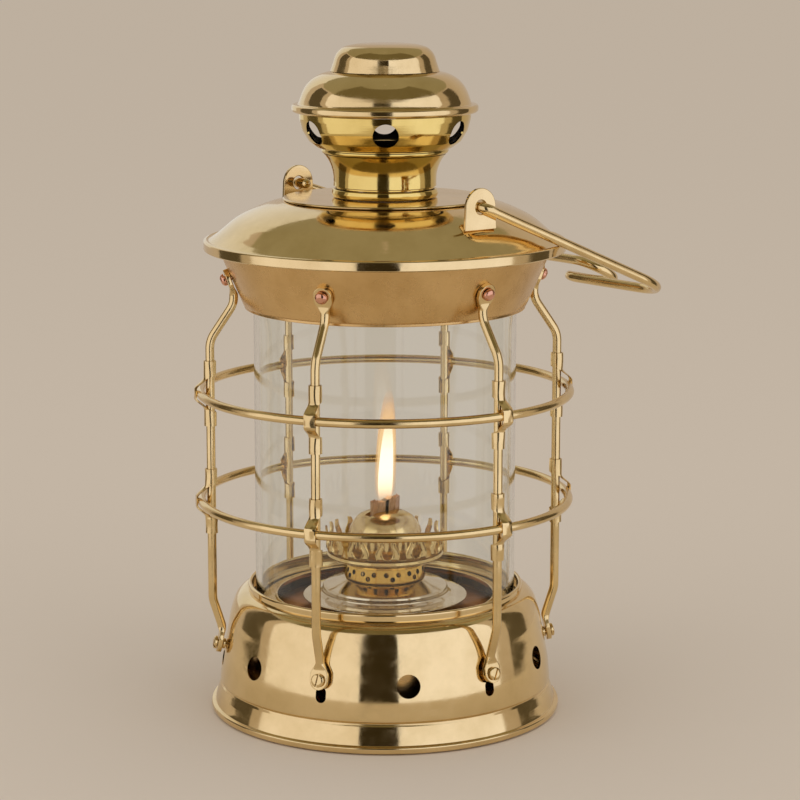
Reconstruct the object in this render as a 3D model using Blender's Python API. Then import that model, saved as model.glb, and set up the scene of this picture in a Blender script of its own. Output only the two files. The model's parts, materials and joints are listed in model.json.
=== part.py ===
# Brass hurricane lamp with six guard rods, a glass chimney and an oil burner.
# Metres, +Z up. The lamp's axis is the Z axis and it stands on z = 0.
# The bail swings about the X direction and rests on the roof's rim towards +Y.
import math

import bmesh
import bpy
from mathutils import Matrix, Vector

mm = 0.001

# Driving dimensions of the whole lamp
foot_radius = 80 * mm
glass_radius = 59.2 * mm
glass_wall = 2.4 * mm
glass_length = 145.1 * mm
cage_radius = 79.2 * mm
rod_diameter = 4.0 * mm
rod_count = 6
roof_rim_radius = 81.3 * mm
vent_radius = 21 * mm
burner_radius = 18 * mm
wick_width = 15.4 * mm
bail_wire_diameter = 4.5 * mm

# Shared by every piece
fit_gap = 0.3 * mm
sheet_metal = 0.8 * mm
weld = 0.001 * mm
half = 0.5
cut_overrun = 2 * mm
large_segments = 36
small_segments = 24
rod_step = math.tau / rod_count


# Materials

def material(name, color, metallic, roughness, transmission=0):
    made = bpy.data.materials.new(name)
    made.use_nodes = True
    shader = made.node_tree.nodes["Principled BSDF"]
    shader.inputs["Base Color"].default_value = (*color, 1)
    shader.inputs["Metallic"].default_value = metallic
    shader.inputs["Roughness"].default_value = roughness
    shader.inputs["Transmission Weight"].default_value = transmission
    return made


# Making solids

def place(name, mesh, paint, location=(0, 0, 0), turn=0):
    made = bpy.data.objects.new(name, mesh)
    bpy.context.scene.collection.objects.link(made)
    made.location = location
    made.rotation_euler = (0, 0, turn)
    if not mesh.materials:
        mesh.materials.append(paint)
    return made


def finish_mesh(name, form, sharp=math.radians(35)):
    bmesh.ops.recalc_face_normals(form, faces=form.faces)
    mesh = bpy.data.meshes.new(name)
    form.to_mesh(mesh)
    form.free()
    mesh.shade_smooth()
    mesh.set_sharp_from_angle(angle=sharp)
    return mesh


def turned_mesh(name, points, segments):
    """Turn a loop of (radius, height) points about Z. It may start and end on the axis."""
    form = bmesh.new()
    corners = [form.verts.new((radius, 0, height)) for radius, height in points]
    edges = [form.edges.new(pair) for pair in zip(corners, corners[1:])]
    if points[0][0] > 0 or points[-1][0] > 0:
        edges.append(form.edges.new((corners[-1], corners[0])))
    bmesh.ops.spin(form, geom=corners + edges, cent=(0, 0, 0), axis=(0, 0, 1), dvec=(0, 0, 0),
                   angle=math.tau, steps=segments, use_merge=True)
    on_axis = [v for v in form.verts if math.hypot(v.co.x, v.co.y) < weld]
    bmesh.ops.remove_doubles(form, verts=on_axis, dist=weld)
    bmesh.ops.delete(form, geom=[e for e in form.edges if not e.link_faces], context="EDGES")
    return finish_mesh(name, form)


def sheet(line, wall=sheet_metal):
    """Give an outer line of (radius, height) points a wall on its left and return the whole loop."""
    inner = []
    for index, (radius, height) in enumerate(line):
        before = line[max(index - 1, 0)]
        after = line[min(index + 1, len(line) - 1)]
        sides = []
        for start, end in ((before, line[index]), (line[index], after)):
            run, rise = end[0] - start[0], end[1] - start[1]
            length = math.hypot(run, rise)
            if length > 0:
                sides.append(Vector((-rise / length, run / length)))
        middle = sum(sides, Vector((0, 0))).normalized()
        reach = wall / middle.dot(sides[0])
        inner.append((max(radius + middle.x * reach, 0), height + middle.y * reach))
    return line + inner[::-1]


def round_profile(center_radius, center_height, radius, count):
    steps = [math.tau * (index + half) / count for index in range(count)]
    return [(center_radius + radius * math.cos(a), center_height + radius * math.sin(a)) for a in steps]


def outline_mesh(name, outline, depth):
    """Fill an outline of (x, y, z) points and push it out along the vector depth."""
    form = bmesh.new()
    face = form.faces.new([form.verts.new(point) for point in outline])
    grown = bmesh.ops.extrude_face_region(form, geom=[face])
    moved = [item for item in grown["geom"] if isinstance(item, bmesh.types.BMVert)]
    bmesh.ops.translate(form, verts=moved, vec=depth)
    return finish_mesh(name, form)


def box_mesh(name, low, high):
    center = [(a + b) / 2 for a, b in zip(low, high)]
    size = [b - a for a, b in zip(low, high)]
    form = bmesh.new()
    bmesh.ops.create_cube(form, size=1, matrix=Matrix.Translation(center) @ Matrix.Diagonal((*size, 1)))
    return finish_mesh(name, form)


def rod_along(name, radius, start, end, sides):
    """A plain round bar between two points, for bores and pins."""
    start, end = Vector(start), Vector(end)
    form = bmesh.new()
    turn = (end - start).to_track_quat("Z", "Y").to_matrix().to_4x4()
    turn = turn @ Matrix.Rotation(math.pi / sides, 4, "Z")
    bmesh.ops.create_cone(form, cap_ends=True, segments=sides, radius1=radius, radius2=radius,
                          depth=(end - start).length, matrix=Matrix.Translation((start + end) / 2) @ turn)
    return finish_mesh(name, form)


def turned_copies(mesh, count, first=0):
    """Copies of a mesh turned about Z, in equal steps of the whole circle."""
    copies = []
    for index in range(count):
        copy = mesh.copy()
        copy.transform(Matrix.Rotation(first + math.tau * index / count, 4, "Z"))
        copies.append(copy)
    return copies


def combined(mesh, others, operation):
    """Cut or join other meshes with a mesh by a Boolean, and return the result."""
    base = bpy.data.objects.new("base", mesh)
    bpy.context.scene.collection.objects.link(base)
    tools = []
    for index, other in enumerate(others):
        tool = bpy.data.objects.new("tool", other)
        bpy.context.scene.collection.objects.link(tool)
        change = base.modifiers.new("change" + str(index), "BOOLEAN")
        change.operation = operation
        change.solver = "EXACT"
        change.object = tool
        tools.append(tool)
    graph = bpy.context.evaluated_depsgraph_get()
    result = bpy.data.meshes.new_from_object(base.evaluated_get(graph), depsgraph=graph)
    for item in [base] + tools:
        bpy.data.objects.remove(item, do_unlink=True)
    form = bmesh.new()
    form.from_mesh(result)
    bmesh.ops.remove_doubles(form, verts=form.verts, dist=weld)
    return finish_mesh(mesh.name, form)


for leftover in list(bpy.data.objects):
    bpy.data.objects.remove(leftover, do_unlink=True)

brass = material("polished_brass", (0.80, 0.58, 0.25), 1, 0.16)
copper = material("copper_rivet", (0.78, 0.42, 0.27), 1, 0.25)
tinned = material("tinned_plate", (0.72, 0.69, 0.62), 1, 0.12)
glass = material("clear_glass", (1, 1, 1), 0, 0.02, 1)
cotton = material("cotton_wick", (0.75, 0.55, 0.36), 0, 0.95)


# Drum: a spun brass shell with a rolled foot, six air holes and six short slots under the rods.
foot_bead = 3.2 * mm
foot_edge = 0.8 * mm
foot_flat = 2.6 * mm
foot_flare = 4.2 * mm
flare_step = 0.5 * mm
crease_height = 12.5 * mm
crease_depth = 0.6 * mm
crease_half_width = 1.5 * mm
wall_low_inset = 0.9 * mm
wall_low_rise = 10.8 * mm
screw_rise = 7.1 * mm
wall_high_inset = 4.0 * mm
wall_high_rise = 8.6 * mm
shoulder_inset = 6.0 * mm
shoulder_lift = 9.0 * mm
shoulder_rise = 6.7 * mm
shoulder_shares = ((0.45, 0.82),)
lip_rise = 2.3 * mm
lip_width = 1.8 * mm
lip_edge = 1.0 * mm
neck_play = 1.6 * mm
neck_depth = 6.5 * mm
neck_ledge = 1.9 * mm

drum_radius = foot_radius - foot_flare
wall_low = (drum_radius - wall_low_inset, crease_height + wall_low_rise)
screw_height = wall_low[1] + screw_rise
wall_high = (drum_radius - wall_high_inset, screw_height + wall_high_rise)
shoulder_radius = drum_radius - shoulder_inset
shoulder_start = wall_high[1] + shoulder_lift
drum_height = shoulder_start + shoulder_rise + lip_rise
neck_radius = glass_radius + neck_play
lip_radius = neck_radius + lip_width

drum_line = [
    (foot_radius - foot_flat - foot_edge, 0),
    (foot_radius - foot_edge, 0),
    (foot_radius, foot_bead * half),
    (foot_radius - foot_edge, foot_bead),
    (drum_radius + flare_step, crease_height - 2 * crease_half_width),
    (drum_radius - crease_depth, crease_height),
    (drum_radius, crease_height + crease_half_width),
    wall_low,
    wall_high,
    (shoulder_radius, shoulder_start),
]
for across, up in shoulder_shares:
    drum_line.append((shoulder_radius + (lip_radius - shoulder_radius) * across,
                      shoulder_start + shoulder_rise * up))
drum_line += [
    (lip_radius, shoulder_start + shoulder_rise),
    (lip_radius, drum_height),
    ((lip_radius + neck_radius) / 2, drum_height + lip_edge),
    (neck_radius, drum_height),
    (neck_radius, drum_height - neck_depth),
    (neck_radius - neck_ledge, drum_height - neck_depth),
]


def neck_sheet(line):
    """The lip is a closed hem, so the line doubles back and its wall lies outside the neck."""
    fold = len(line) - 5
    outer, inner = line[:fold + 1], line[fold + 1:]
    back = sheet(outer)[len(outer):][::-1]
    under = [
        (neck_radius - neck_ledge, drum_height - neck_depth - sheet_metal),
        (neck_radius + sheet_metal, drum_height - neck_depth - sheet_metal),
        (neck_radius + sheet_metal, shoulder_start + shoulder_rise - sheet_metal),
    ]
    return outer + inner + under + back[:-2][::-1]


drum_mesh = turned_mesh("drum", neck_sheet(drum_line), large_segments)

# The wall carries the rods' feet on a straight cone, so one normal serves all holes in it.
wall_slope = math.atan2(wall_low[0] - wall_high[0], wall_high[1] - wall_low[1])


def wall_point(height, outward=0):
    """A point at azimuth 0 on the drum's conical wall, moved outward along its normal."""
    radius = wall_low[0] - (height - wall_low[1]) * math.tan(wall_slope)
    return Vector((radius + outward * math.cos(wall_slope), 0, height + outward * math.sin(wall_slope)))


air_hole_diameter = 10.5 * mm
air_hole_drop = 1.6 * mm
air_hole_sides = 12
slot_width = 4.8 * mm
slot_drop = 5.4 * mm
slot_length = 2.2 * mm
slot_sides = 6
screw_diameter = 3.0 * mm
screw_sides = 6
hook_count = 3
hook_height = 4.6 * mm
hook_thickness = 1.0 * mm
hook_width = 10 * mm
hook_depth = 4.4 * mm
hook_bite = 1.8 * mm

air_hole_height = screw_height - air_hole_drop
slot_high_height = screw_height - slot_drop
slot_low_height = slot_high_height - slot_length
hook_reach = drum_radius - hook_depth
hook_end = drum_radius + hook_bite
air_holes = turned_copies(
    rod_along("air_hole", air_hole_diameter / 2, wall_point(air_hole_height, -2 * cut_overrun),
              wall_point(air_hole_height, 2 * cut_overrun), air_hole_sides), rod_count, rod_step / 2)
slot_outline = []
for end_height, first_angle in ((slot_high_height, 0), (slot_low_height, math.pi)):
    for index in range(slot_sides // 2 + 1):
        angle = first_angle + math.tau * index / slot_sides
        slot_outline.append((wall_high[0] - cut_overrun, slot_width / 2 * math.cos(angle),
                             end_height + slot_width / 2 * math.sin(angle)))
slots = turned_copies(
    outline_mesh("slot", slot_outline, (drum_radius - wall_high[0] + 2 * cut_overrun, 0, 0)), rod_count)
screw_bores = turned_copies(
    rod_along("screw_bore", screw_diameter / 2 + fit_gap, wall_point(screw_height, -2 * cut_overrun),
              wall_point(screw_height, 2 * cut_overrun), screw_sides), rod_count)
hooks = turned_copies(
    box_mesh("hook", (hook_reach, -hook_width / 2, hook_height),
             (hook_end, hook_width / 2, hook_height + hook_thickness)), hook_count)
drum_mesh = combined(drum_mesh, air_holes + slots + screw_bores, "DIFFERENCE")
drum_mesh = combined(drum_mesh, hooks, "UNION")
place("drum", drum_mesh, brass)


# Glass seat: a flat brass ring with a rolled inner edge, lying on the drum's inner ledge.
seat_overlap = 9.8 * mm
seat_inner_radius = glass_radius - seat_overlap
seat_roll = 1.4 * mm
seat_height = drum_height - neck_depth + fit_gap
seat_line = [
    (seat_inner_radius, seat_height + sheet_metal + seat_roll),
    (seat_inner_radius, seat_height),
    (neck_radius - fit_gap, seat_height),
    (neck_radius - fit_gap, seat_height + sheet_metal),
    (seat_inner_radius + sheet_metal, seat_height + sheet_metal),
    (seat_inner_radius + sheet_metal, seat_height + sheet_metal + seat_roll),
]
place("glass_seat", turned_mesh("glass_seat", seat_line, small_segments), brass)


# Glass chimney: a straight clear tube standing on the seat.
glass_bottom = seat_height + sheet_metal + fit_gap
glass_top = glass_bottom + glass_length
glass_line = [
    (glass_radius - glass_wall, glass_bottom),
    (glass_radius, glass_bottom),
    (glass_radius, glass_top),
    (glass_radius - glass_wall, glass_top),
]
place("glass_chimney", turned_mesh("glass_chimney", glass_line, large_segments), glass)


# Skirt: the cone under the roof. Its top flange lies inside the roof's rim.
skirt_play = 3.6 * mm
skirt_cover = 12 * mm
skirt_height = 26 * mm
skirt_flange = 6.8 * mm
skirt_bottom_radius = glass_radius + skirt_play
skirt_bottom_height = glass_top - skirt_cover
skirt_top_radius = roof_rim_radius - skirt_flange
roof_rim_height = skirt_bottom_height + skirt_height
flange_play = 2 * fit_gap
skirt_top_height = roof_rim_height
skirt_line = [
    (skirt_bottom_radius, skirt_bottom_height),
    (skirt_top_radius, skirt_top_height),
]
skirt_slope = math.atan2(skirt_top_radius - skirt_bottom_radius, skirt_top_height - skirt_bottom_height)


def skirt_point(height, outward=0):
    """A point at azimuth 0 on the skirt's outside, moved outward along its normal."""
    radius = skirt_top_radius - (skirt_top_height - height) * math.tan(skirt_slope)
    return Vector((radius + outward * math.cos(skirt_slope), 0, height - outward * math.sin(skirt_slope)))


skirt_flange_end = roof_rim_radius - sheet_metal - flange_play
skirt_loop = skirt_line + [
    (skirt_flange_end, skirt_top_height),
    (skirt_flange_end, skirt_top_height + sheet_metal),
    (skirt_top_radius - sheet_metal, skirt_top_height + sheet_metal),
    sheet(skirt_line)[-1],
]
rivet_rise = 14.5 * mm
rivet_height = skirt_bottom_height + rivet_rise
rivet_diameter = 3.0 * mm
rivet_sides = 6
rivet_bores = turned_copies(
    rod_along("rivet_bore", rivet_diameter / 2 + fit_gap, skirt_point(rivet_height, -2 * cut_overrun),
              skirt_point(rivet_height, 2 * cut_overrun), rivet_sides), rod_count)
skirt_mesh = turned_mesh("skirt", skirt_loop, large_segments)
place("skirt", combined(skirt_mesh, rivet_bores, "DIFFERENCE"), brass)


# Chimney holder: a flat ring inside the skirt whose turned-down edge keeps the glass upright.
holder_drop = 7 * mm
holder_height = glass_top + fit_gap
holder_inner_radius = glass_radius - glass_wall
holder_outer_radius = skirt_point(holder_height).x - sheet_metal / math.cos(skirt_slope) - 2 * fit_gap
holder_line = [
    (holder_inner_radius, holder_height),
    (glass_radius + fit_gap, holder_height),
    (glass_radius + fit_gap, holder_height - holder_drop),
    (glass_radius + fit_gap + sheet_metal, holder_height - holder_drop),
    (glass_radius + fit_gap + sheet_metal, holder_height),
    (holder_outer_radius, holder_height),
    (holder_outer_radius, holder_height + sheet_metal),
    (holder_inner_radius, holder_height + sheet_metal),
]
place("chimney_holder", turned_mesh("chimney_holder", holder_line, large_segments), brass)


# Roof: a spun dome with a short upright rim, open in the middle for the hot air.
rim_band = 4 * mm
brim_width = 5.4 * mm
brim_rise = 2.0 * mm
roof_dome_rise = 16.0 * mm
roof_dome_width = 30.2 * mm
roof_dome_shares = ((0.0, 0.0), (0.25, 0.40), (0.57, 0.75), (1.0, 1.0))
roof_brim_radius = roof_rim_radius - brim_width
roof_flange_radius = roof_brim_radius - roof_dome_width
roof_brim_height = roof_rim_height + rim_band + brim_rise
roof_top_height = roof_brim_height + roof_dome_rise
roof_line = [
    (roof_rim_radius, roof_rim_height),
    (roof_rim_radius, roof_rim_height + rim_band),
]
for across, up in roof_dome_shares:
    roof_line.append((roof_brim_radius + (roof_flange_radius - roof_brim_radius) * across,
                      roof_brim_height + (roof_top_height - roof_brim_height) * up))
roof_line.append((vent_radius, roof_top_height))
place("roof", turned_mesh("roof", sheet(roof_line), large_segments), brass)


# Roof flange: a flat disc lying on top of the dome.
flange_thickness = 1.0 * mm
flange_bottom = roof_top_height + fit_gap
flange_line = [
    (vent_radius, flange_bottom),
    (roof_flange_radius, flange_bottom),
    (roof_flange_radius, flange_bottom + flange_thickness),
    (vent_radius, flange_bottom + flange_thickness),
]
place("roof_flange", turned_mesh("roof_flange", flange_line, small_segments), brass)


# Vent collar: a beaded ring at the foot of the vent.
collar_width = 2.8 * mm
collar_radius = vent_radius + collar_width
collar_height = 3.6 * mm
collar_edge = 0.7 * mm
collar_bottom = flange_bottom + flange_thickness + fit_gap
collar_top = collar_bottom + collar_height
collar_line = [
    (vent_radius, collar_bottom),
    (collar_radius - collar_edge, collar_bottom),
    (collar_radius, (collar_bottom + collar_top) / 2),
    (collar_radius - collar_edge, collar_top),
    (vent_radius, collar_top),
]
place("vent_collar", turned_mesh("vent_collar", collar_line, small_segments), brass)


# Vent neck: a flared tube, narrow where it leaves the collar.
neck_bottom = collar_top + fit_gap
neck_groove_width = 1.2 * mm
neck_groove_radius = vent_radius + neck_groove_width
neck_groove_height = 1.0 * mm
neck_foot_step = 1.1 * mm
neck_foot_radius = neck_groove_radius + neck_foot_step
vent_neck_height = 15.2 * mm
neck_flare = 3.6 * mm
neck_top_radius = neck_foot_radius + neck_flare
neck_flare_shares = ((0.0, 0.0), (0.3, 0.42), (1.0, 1.0))
vent_line = [
    (neck_groove_radius, neck_bottom),
    (neck_groove_radius, neck_bottom + neck_groove_height),
]
for across, up in neck_flare_shares:
    vent_line.append((neck_foot_radius + (neck_top_radius - neck_foot_radius) * across,
                      neck_bottom + neck_groove_height
                      + (vent_neck_height - neck_groove_height) * up))
vent_neck_top = neck_bottom + vent_neck_height
place("vent_neck", turned_mesh("vent_neck", sheet(vent_line), small_segments), brass)


# Vent head: a bowl with six round holes, starting in a bead on top of the neck.
head_bottom = vent_neck_top + fit_gap
bead_width = 1.6 * mm
bead_radius = neck_top_radius + bead_width
bead_height = 2.0 * mm
bead_step = 0.5 * mm
head_flare = 10.3 * mm
head_low_radius = bead_radius - bead_step
head_top_radius = head_low_radius + head_flare
head_height = 17.7 * mm
head_top_height = head_bottom + head_height
head_bowl_shares = ((0.0, 0.0), (0.58, 0.23), (0.88, 0.54), (1.0, 1.0))
head_hole_diameter = 11.4 * mm
head_hole_share = 0.54
head_hole_tilt = math.radians(32)
head_hole_turn = math.radians(22.5)
head_line = [
    (neck_top_radius - sheet_metal, head_bottom),
    (bead_radius - collar_edge, head_bottom),
    (bead_radius, head_bottom + bead_height * half),
]
for across, up in head_bowl_shares:
    head_line.append((head_low_radius + (head_top_radius - head_low_radius) * across,
                      head_bottom + bead_height + (head_height - bead_height) * up))
head_mesh = turned_mesh("vent_head", sheet(head_line), small_segments)
hole_center = Vector((head_top_radius - 2 * sheet_metal, 0,
                      head_bottom + head_height * head_hole_share))
hole_reach = Vector((math.cos(head_hole_tilt), 0, -math.sin(head_hole_tilt))) * (head_hole_diameter * half)
head_holes = turned_copies(
    rod_along("head_hole", head_hole_diameter / 2, hole_center - hole_reach, hole_center + hole_reach,
              air_hole_sides), rod_count, head_hole_turn)
place("vent_head", combined(head_mesh, head_holes, "DIFFERENCE"), brass)


# Cap: a beaded rim and a low dome over the vent head, with a hole under its upper stage.
cap_bottom = head_top_height + fit_gap
cap_overhang = 3.3 * mm
cap_radius = head_top_radius + cap_overhang
cap_rim_height = 3.6 * mm
cap_rim_edge = 1.0 * mm
cap_dome_step = 2.4 * mm
cap_dome_width = 14.5 * mm
cap_dome_height = 14.4 * mm
cap_dome_radius = cap_radius - cap_dome_step
cap_dome_top = cap_bottom + cap_rim_height + cap_dome_height
cap_dome_shares = ((0.0, 0.0), (0.19, 0.20), (0.40, 0.69), (0.63, 0.90), (1.0, 1.0))
upper_radius = cap_dome_radius - cap_dome_width
cap_hole_edge = 4.7 * mm
cap_hole_radius = upper_radius - cap_hole_edge
cap_line = [
    (head_top_radius - sheet_metal, cap_bottom),
    (cap_radius - cap_rim_edge, cap_bottom),
    (cap_radius, cap_bottom + cap_rim_edge),
    (cap_radius, cap_bottom + cap_rim_height - cap_rim_edge),
    (cap_radius - cap_rim_edge, cap_bottom + cap_rim_height),
]
for across, up in cap_dome_shares:
    cap_line.append((cap_dome_radius + (upper_radius - cap_dome_radius) * across,
                     cap_bottom + cap_rim_height + (cap_dome_top - cap_bottom - cap_rim_height) * up))
cap_line.append((cap_hole_radius, cap_dome_top))
place("cap", turned_mesh("cap", sheet(cap_line), small_segments), brass)


# Cap crown: the small upper stage, closed at the top.
crown_bottom = cap_dome_top + fit_gap
crown_height = 12.2 * mm
crown_shares = ((1.0, 0.0), (0.965, 0.46), (0.89, 0.75), (0.70, 0.92), (0.0, 1.0))
crown_line = [(upper_radius * across, crown_bottom + crown_height * up) for across, up in crown_shares]
place("cap_crown", turned_mesh("cap_crown", sheet(crown_line), small_segments), brass)


# Guard rods: round wire with a flattened, drilled eyelet at each end, bent to stand clear of the lamp.
eyelet_radius = 4.4 * mm
eyelet_thickness = 2.2 * mm
eyelet_neck = 3.4 * mm
inner_kink_drop = 9.5 * mm
outer_kink_drop = 19 * mm
lower_kink_rise = 21.6 * mm
lower_foot_rise = 7.1 * mm
inner_kink_height = rivet_height - inner_kink_drop
outer_kink_height = inner_kink_height - outer_kink_drop
lower_kink_height = screw_height + lower_kink_rise
lower_foot_height = screw_height + lower_foot_rise
kink_round = 5 * mm
foot_standoff = 1.7 * mm
eyelet_end_share = 0.92
hexagon_share = math.sqrt(3) / 2
flat_corner_share = 0.5
bolt_hole_radius = rivet_diameter / 2 + fit_gap

rod_radius = rod_diameter / 2
skirt_stand = eyelet_thickness / 2 + fit_gap
foot_stand = foot_standoff + eyelet_thickness / 2
top_eye = skirt_point(rivet_height, skirt_stand)
foot_eye = wall_point(screw_height, foot_stand)
inner_kink = skirt_point(inner_kink_height, rod_radius + fit_gap)
outer_kink = Vector((cage_radius, 0, outer_kink_height))
lower_kink = Vector((cage_radius, 0, lower_kink_height))
lower_foot = wall_point(lower_foot_height, foot_stand)


def section(center, along, half_width, half_depth, flat):
    """Six points round a wire: a regular hexagon when flat is 0 and a flat bar's section when it is 1."""
    across = Vector((0, 1, 0))
    depth = along.cross(across).normalized()
    corner = half_width * half + (half_width - half_depth * flat_corner_share - half_width * half) * flat
    deep = half_depth * (hexagon_share + (1 - hexagon_share) * flat)
    places = [(half_width, 0), (corner, deep), (-corner, deep), (-half_width, 0), (-corner, -deep),
              (corner, -deep)]
    return [center + across * side + depth * up for side, up in places]


def eyelet_sections(center, toward):
    """Sections through a round flat eyelet, from its far end to where the round wire starts."""
    rings = []
    for share in (-eyelet_end_share, -1 / math.sqrt(2), 0, 1 / math.sqrt(2)):
        wide = eyelet_radius * math.sqrt(1 - share * share)
        rings.append(section(center + toward * (eyelet_radius * share), toward,
                             wide, eyelet_thickness / 2, 1))
    rings.append(section(center + toward * (eyelet_radius + eyelet_neck), toward,
                         rod_radius, rod_radius, 0))
    return rings


def bend(before, corner, after):
    """Two points that cut a bend's corner off."""
    start = corner + (before - corner).normalized() * kink_round
    end = corner + (after - corner).normalized() * kink_round
    return [start, end]


def loft_mesh(name, rings):
    form = bmesh.new()
    rows = [[form.verts.new(point) for point in ring] for ring in rings]
    for low, high in zip(rows, rows[1:]):
        for index in range(len(low)):
            nearby = (index + 1) % len(low)
            form.faces.new((low[index], low[nearby], high[nearby], high[index]))
    form.faces.new(rows[0])
    form.faces.new(rows[-1])
    return finish_mesh(name, form)


down = (inner_kink - top_eye).normalized()
up = (lower_foot - foot_eye).normalized()
bends = bend(top_eye, inner_kink, outer_kink) + bend(inner_kink, outer_kink, lower_kink)
bends += bend(outer_kink, lower_kink, lower_foot)
wire_start = top_eye + down * (eyelet_radius + eyelet_neck)
path = [wire_start] + bends + [foot_eye + up * (eyelet_radius + eyelet_neck)]
rod_rings = eyelet_sections(top_eye, down)
for before, here, after in zip(path, path[1:], path[2:]):
    rod_rings.append(section(here, (after - before).normalized(), rod_radius, rod_radius, 0))
rod_rings += [ring for ring in reversed(
    [[point for point in section_points] for section_points in eyelet_sections(foot_eye, up)])]
for ring in rod_rings[-5:]:
    ring.reverse()
    ring[:] = ring[3:] + ring[:3]
skirt_normal = skirt_point(rivet_height, 1 * mm) - skirt_point(rivet_height)
wall_normal = wall_point(screw_height, 1 * mm) - wall_point(screw_height)
eye_bores = [
    rod_along("eye_bore", bolt_hole_radius, top_eye - skirt_normal.normalized() * cut_overrun,
              top_eye + skirt_normal.normalized() * cut_overrun, rivet_sides),
    rod_along("eye_bore", bolt_hole_radius, foot_eye - wall_normal.normalized() * cut_overrun,
              foot_eye + wall_normal.normalized() * cut_overrun, rivet_sides),
]
rod_mesh = combined(loft_mesh("guard_rod", rod_rings), eye_bores, "DIFFERENCE")
for index in range(rod_count):
    place("guard_rod_" + str(index + 1), rod_mesh, brass, turn=rod_step * index)


# Rivets: round heads outside, a shank through eyelet and skirt, a small upset tail inside.
rivet_head_radius = 2.9 * mm
rivet_head_height = 2.0 * mm
rivet_tail_radius = 2.3 * mm
rivet_tail_height = 0.8 * mm
rivet_head_shares = ((1.0, 0.0), (0.76, 0.68), (0.0, 1.0))


def pin_mesh(name, points, origin, normal, segments):
    """A small turned piece whose own Z axis is laid along a normal, starting at origin."""
    made = turned_mesh(name, points, segments)
    turn = normal.to_track_quat("Z", "Y").to_matrix().to_4x4()
    made.transform(Matrix.Translation(origin) @ turn)
    return made


outside = fit_gap + eyelet_thickness + fit_gap
inside = -sheet_metal - fit_gap
rivet_line = [
    (0, inside - rivet_tail_height),
    (rivet_tail_radius, inside - rivet_tail_height),
    (rivet_tail_radius, inside),
    (rivet_diameter / 2, inside),
    (rivet_diameter / 2, outside),
]
rivet_line += [(rivet_head_radius * across, outside + rivet_head_height * up)
               for across, up in rivet_head_shares]
rivet_mesh = pin_mesh("rivet", rivet_line, skirt_point(rivet_height), skirt_normal, rivet_sides)
for index in range(rod_count):
    place("rivet_" + str(index + 1), rivet_mesh, copper, turn=rod_step * index)


# Foot screws: slotted heads, and a shoulder that stands the rod off the drum.
screw_head_radius = 2.95 * mm
screw_head_height = 1.6 * mm
shoulder_radius_of_screw = 2.4 * mm
screw_tail = 3 * mm
screw_slot_width = 0.8 * mm
screw_slot_depth = 0.7 * mm
screw_head_shares = ((1.0, 0.0), (0.9, 0.8), (0.0, 1.0))
stand_end = foot_standoff - fit_gap
screw_outside = foot_standoff + eyelet_thickness + fit_gap
screw_line = [
    (0, -sheet_metal - screw_tail),
    (screw_diameter / 2, -sheet_metal - screw_tail),
    (screw_diameter / 2, fit_gap),
    (shoulder_radius_of_screw, fit_gap),
    (shoulder_radius_of_screw, stand_end),
    (screw_diameter / 2, stand_end),
    (screw_diameter / 2, screw_outside),
]
screw_line += [(screw_head_radius * across, screw_outside + screw_head_height * up)
               for across, up in screw_head_shares]
screw_slot = box_mesh(
    "screw_slot", (-screw_head_radius - cut_overrun, -screw_slot_width / 2,
                   screw_outside + screw_head_height - screw_slot_depth),
    (screw_head_radius + cut_overrun, screw_slot_width / 2, screw_outside + screw_head_height + cut_overrun))
screw_mesh = combined(turned_mesh("foot_screw", screw_line, screw_sides),
                      [screw_slot], "DIFFERENCE")
screw_mesh.transform(Matrix.Translation(wall_point(screw_height))
                     @ wall_normal.to_track_quat("Z", "Y").to_matrix().to_4x4())
for index in range(rod_count):
    place("foot_screw_" + str(index + 1), screw_mesh, brass, turn=rod_step * index)


# Guard rings: two wire hoops outside the rods, each held to every rod by a sheet clip.
ring_wire_radius = 2.0 * mm
ring_sides = 6
lower_ring_rise = 45.6 * mm
ring_spacing = 49.4 * mm
lower_ring_height = lower_kink_height + lower_ring_rise
ring_heights = {"lower": lower_ring_height, "upper": lower_ring_height + ring_spacing}
ring_radius = cage_radius + rod_radius + fit_gap + ring_wire_radius
for level, height in ring_heights.items():
    hoop = turned_mesh("guard_ring", round_profile(ring_radius, 0, ring_wire_radius, ring_sides),
                       large_segments)
    place("guard_ring_" + level, hoop, brass, location=(0, 0, height))

clip_half_height = 14.8 * mm
clip_collar_height = 6.6 * mm
clip_wall = 0.6 * mm
clip_width = 5.4 * mm
clip_strap = 0.7 * mm
collar_sides = 6
strap_shares = ((1.0, 0.0), (0.60, 0.0), (0.22, 1.0))
collar_inner = rod_radius + fit_gap
collar_outer = collar_inner + clip_wall
strap_low = cage_radius + collar_inner + clip_wall * half
strap_high = ring_radius + ring_wire_radius / math.cos(math.pi / ring_sides) + fit_gap
strap_side = [(strap_low + (strap_high - strap_low) * out, clip_half_height * up) for up, out in strap_shares]
strap_line = [(radius, -height) for radius, height in strap_side]
strap_line += [(radius, height) for radius, height in strap_side[::-1]]
strap_loop = sheet(strap_line, -clip_strap)
strap_mesh = outline_mesh("strap", [(radius, -clip_width / 2, height) for radius, height in strap_loop],
                          (0, clip_width, 0))
clip_collars = []
for low in (-clip_half_height, clip_half_height - clip_collar_height):
    clip_loop = [(collar_inner, low), (collar_outer, low), (collar_outer, low + clip_collar_height),
                 (collar_inner, low + clip_collar_height)]
    band = turned_mesh("clip_collar", clip_loop, collar_sides)
    band.transform(Matrix.Translation((cage_radius, 0, 0)))
    clip_collars.append(band)
clip_mesh = combined(strap_mesh, clip_collars, "UNION")
for level, height in ring_heights.items():
    for index in range(rod_count):
        place("ring_clip_" + level + "_" + str(index + 1), clip_mesh, brass,
              location=(0, 0, height), turn=rod_step * index)


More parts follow.
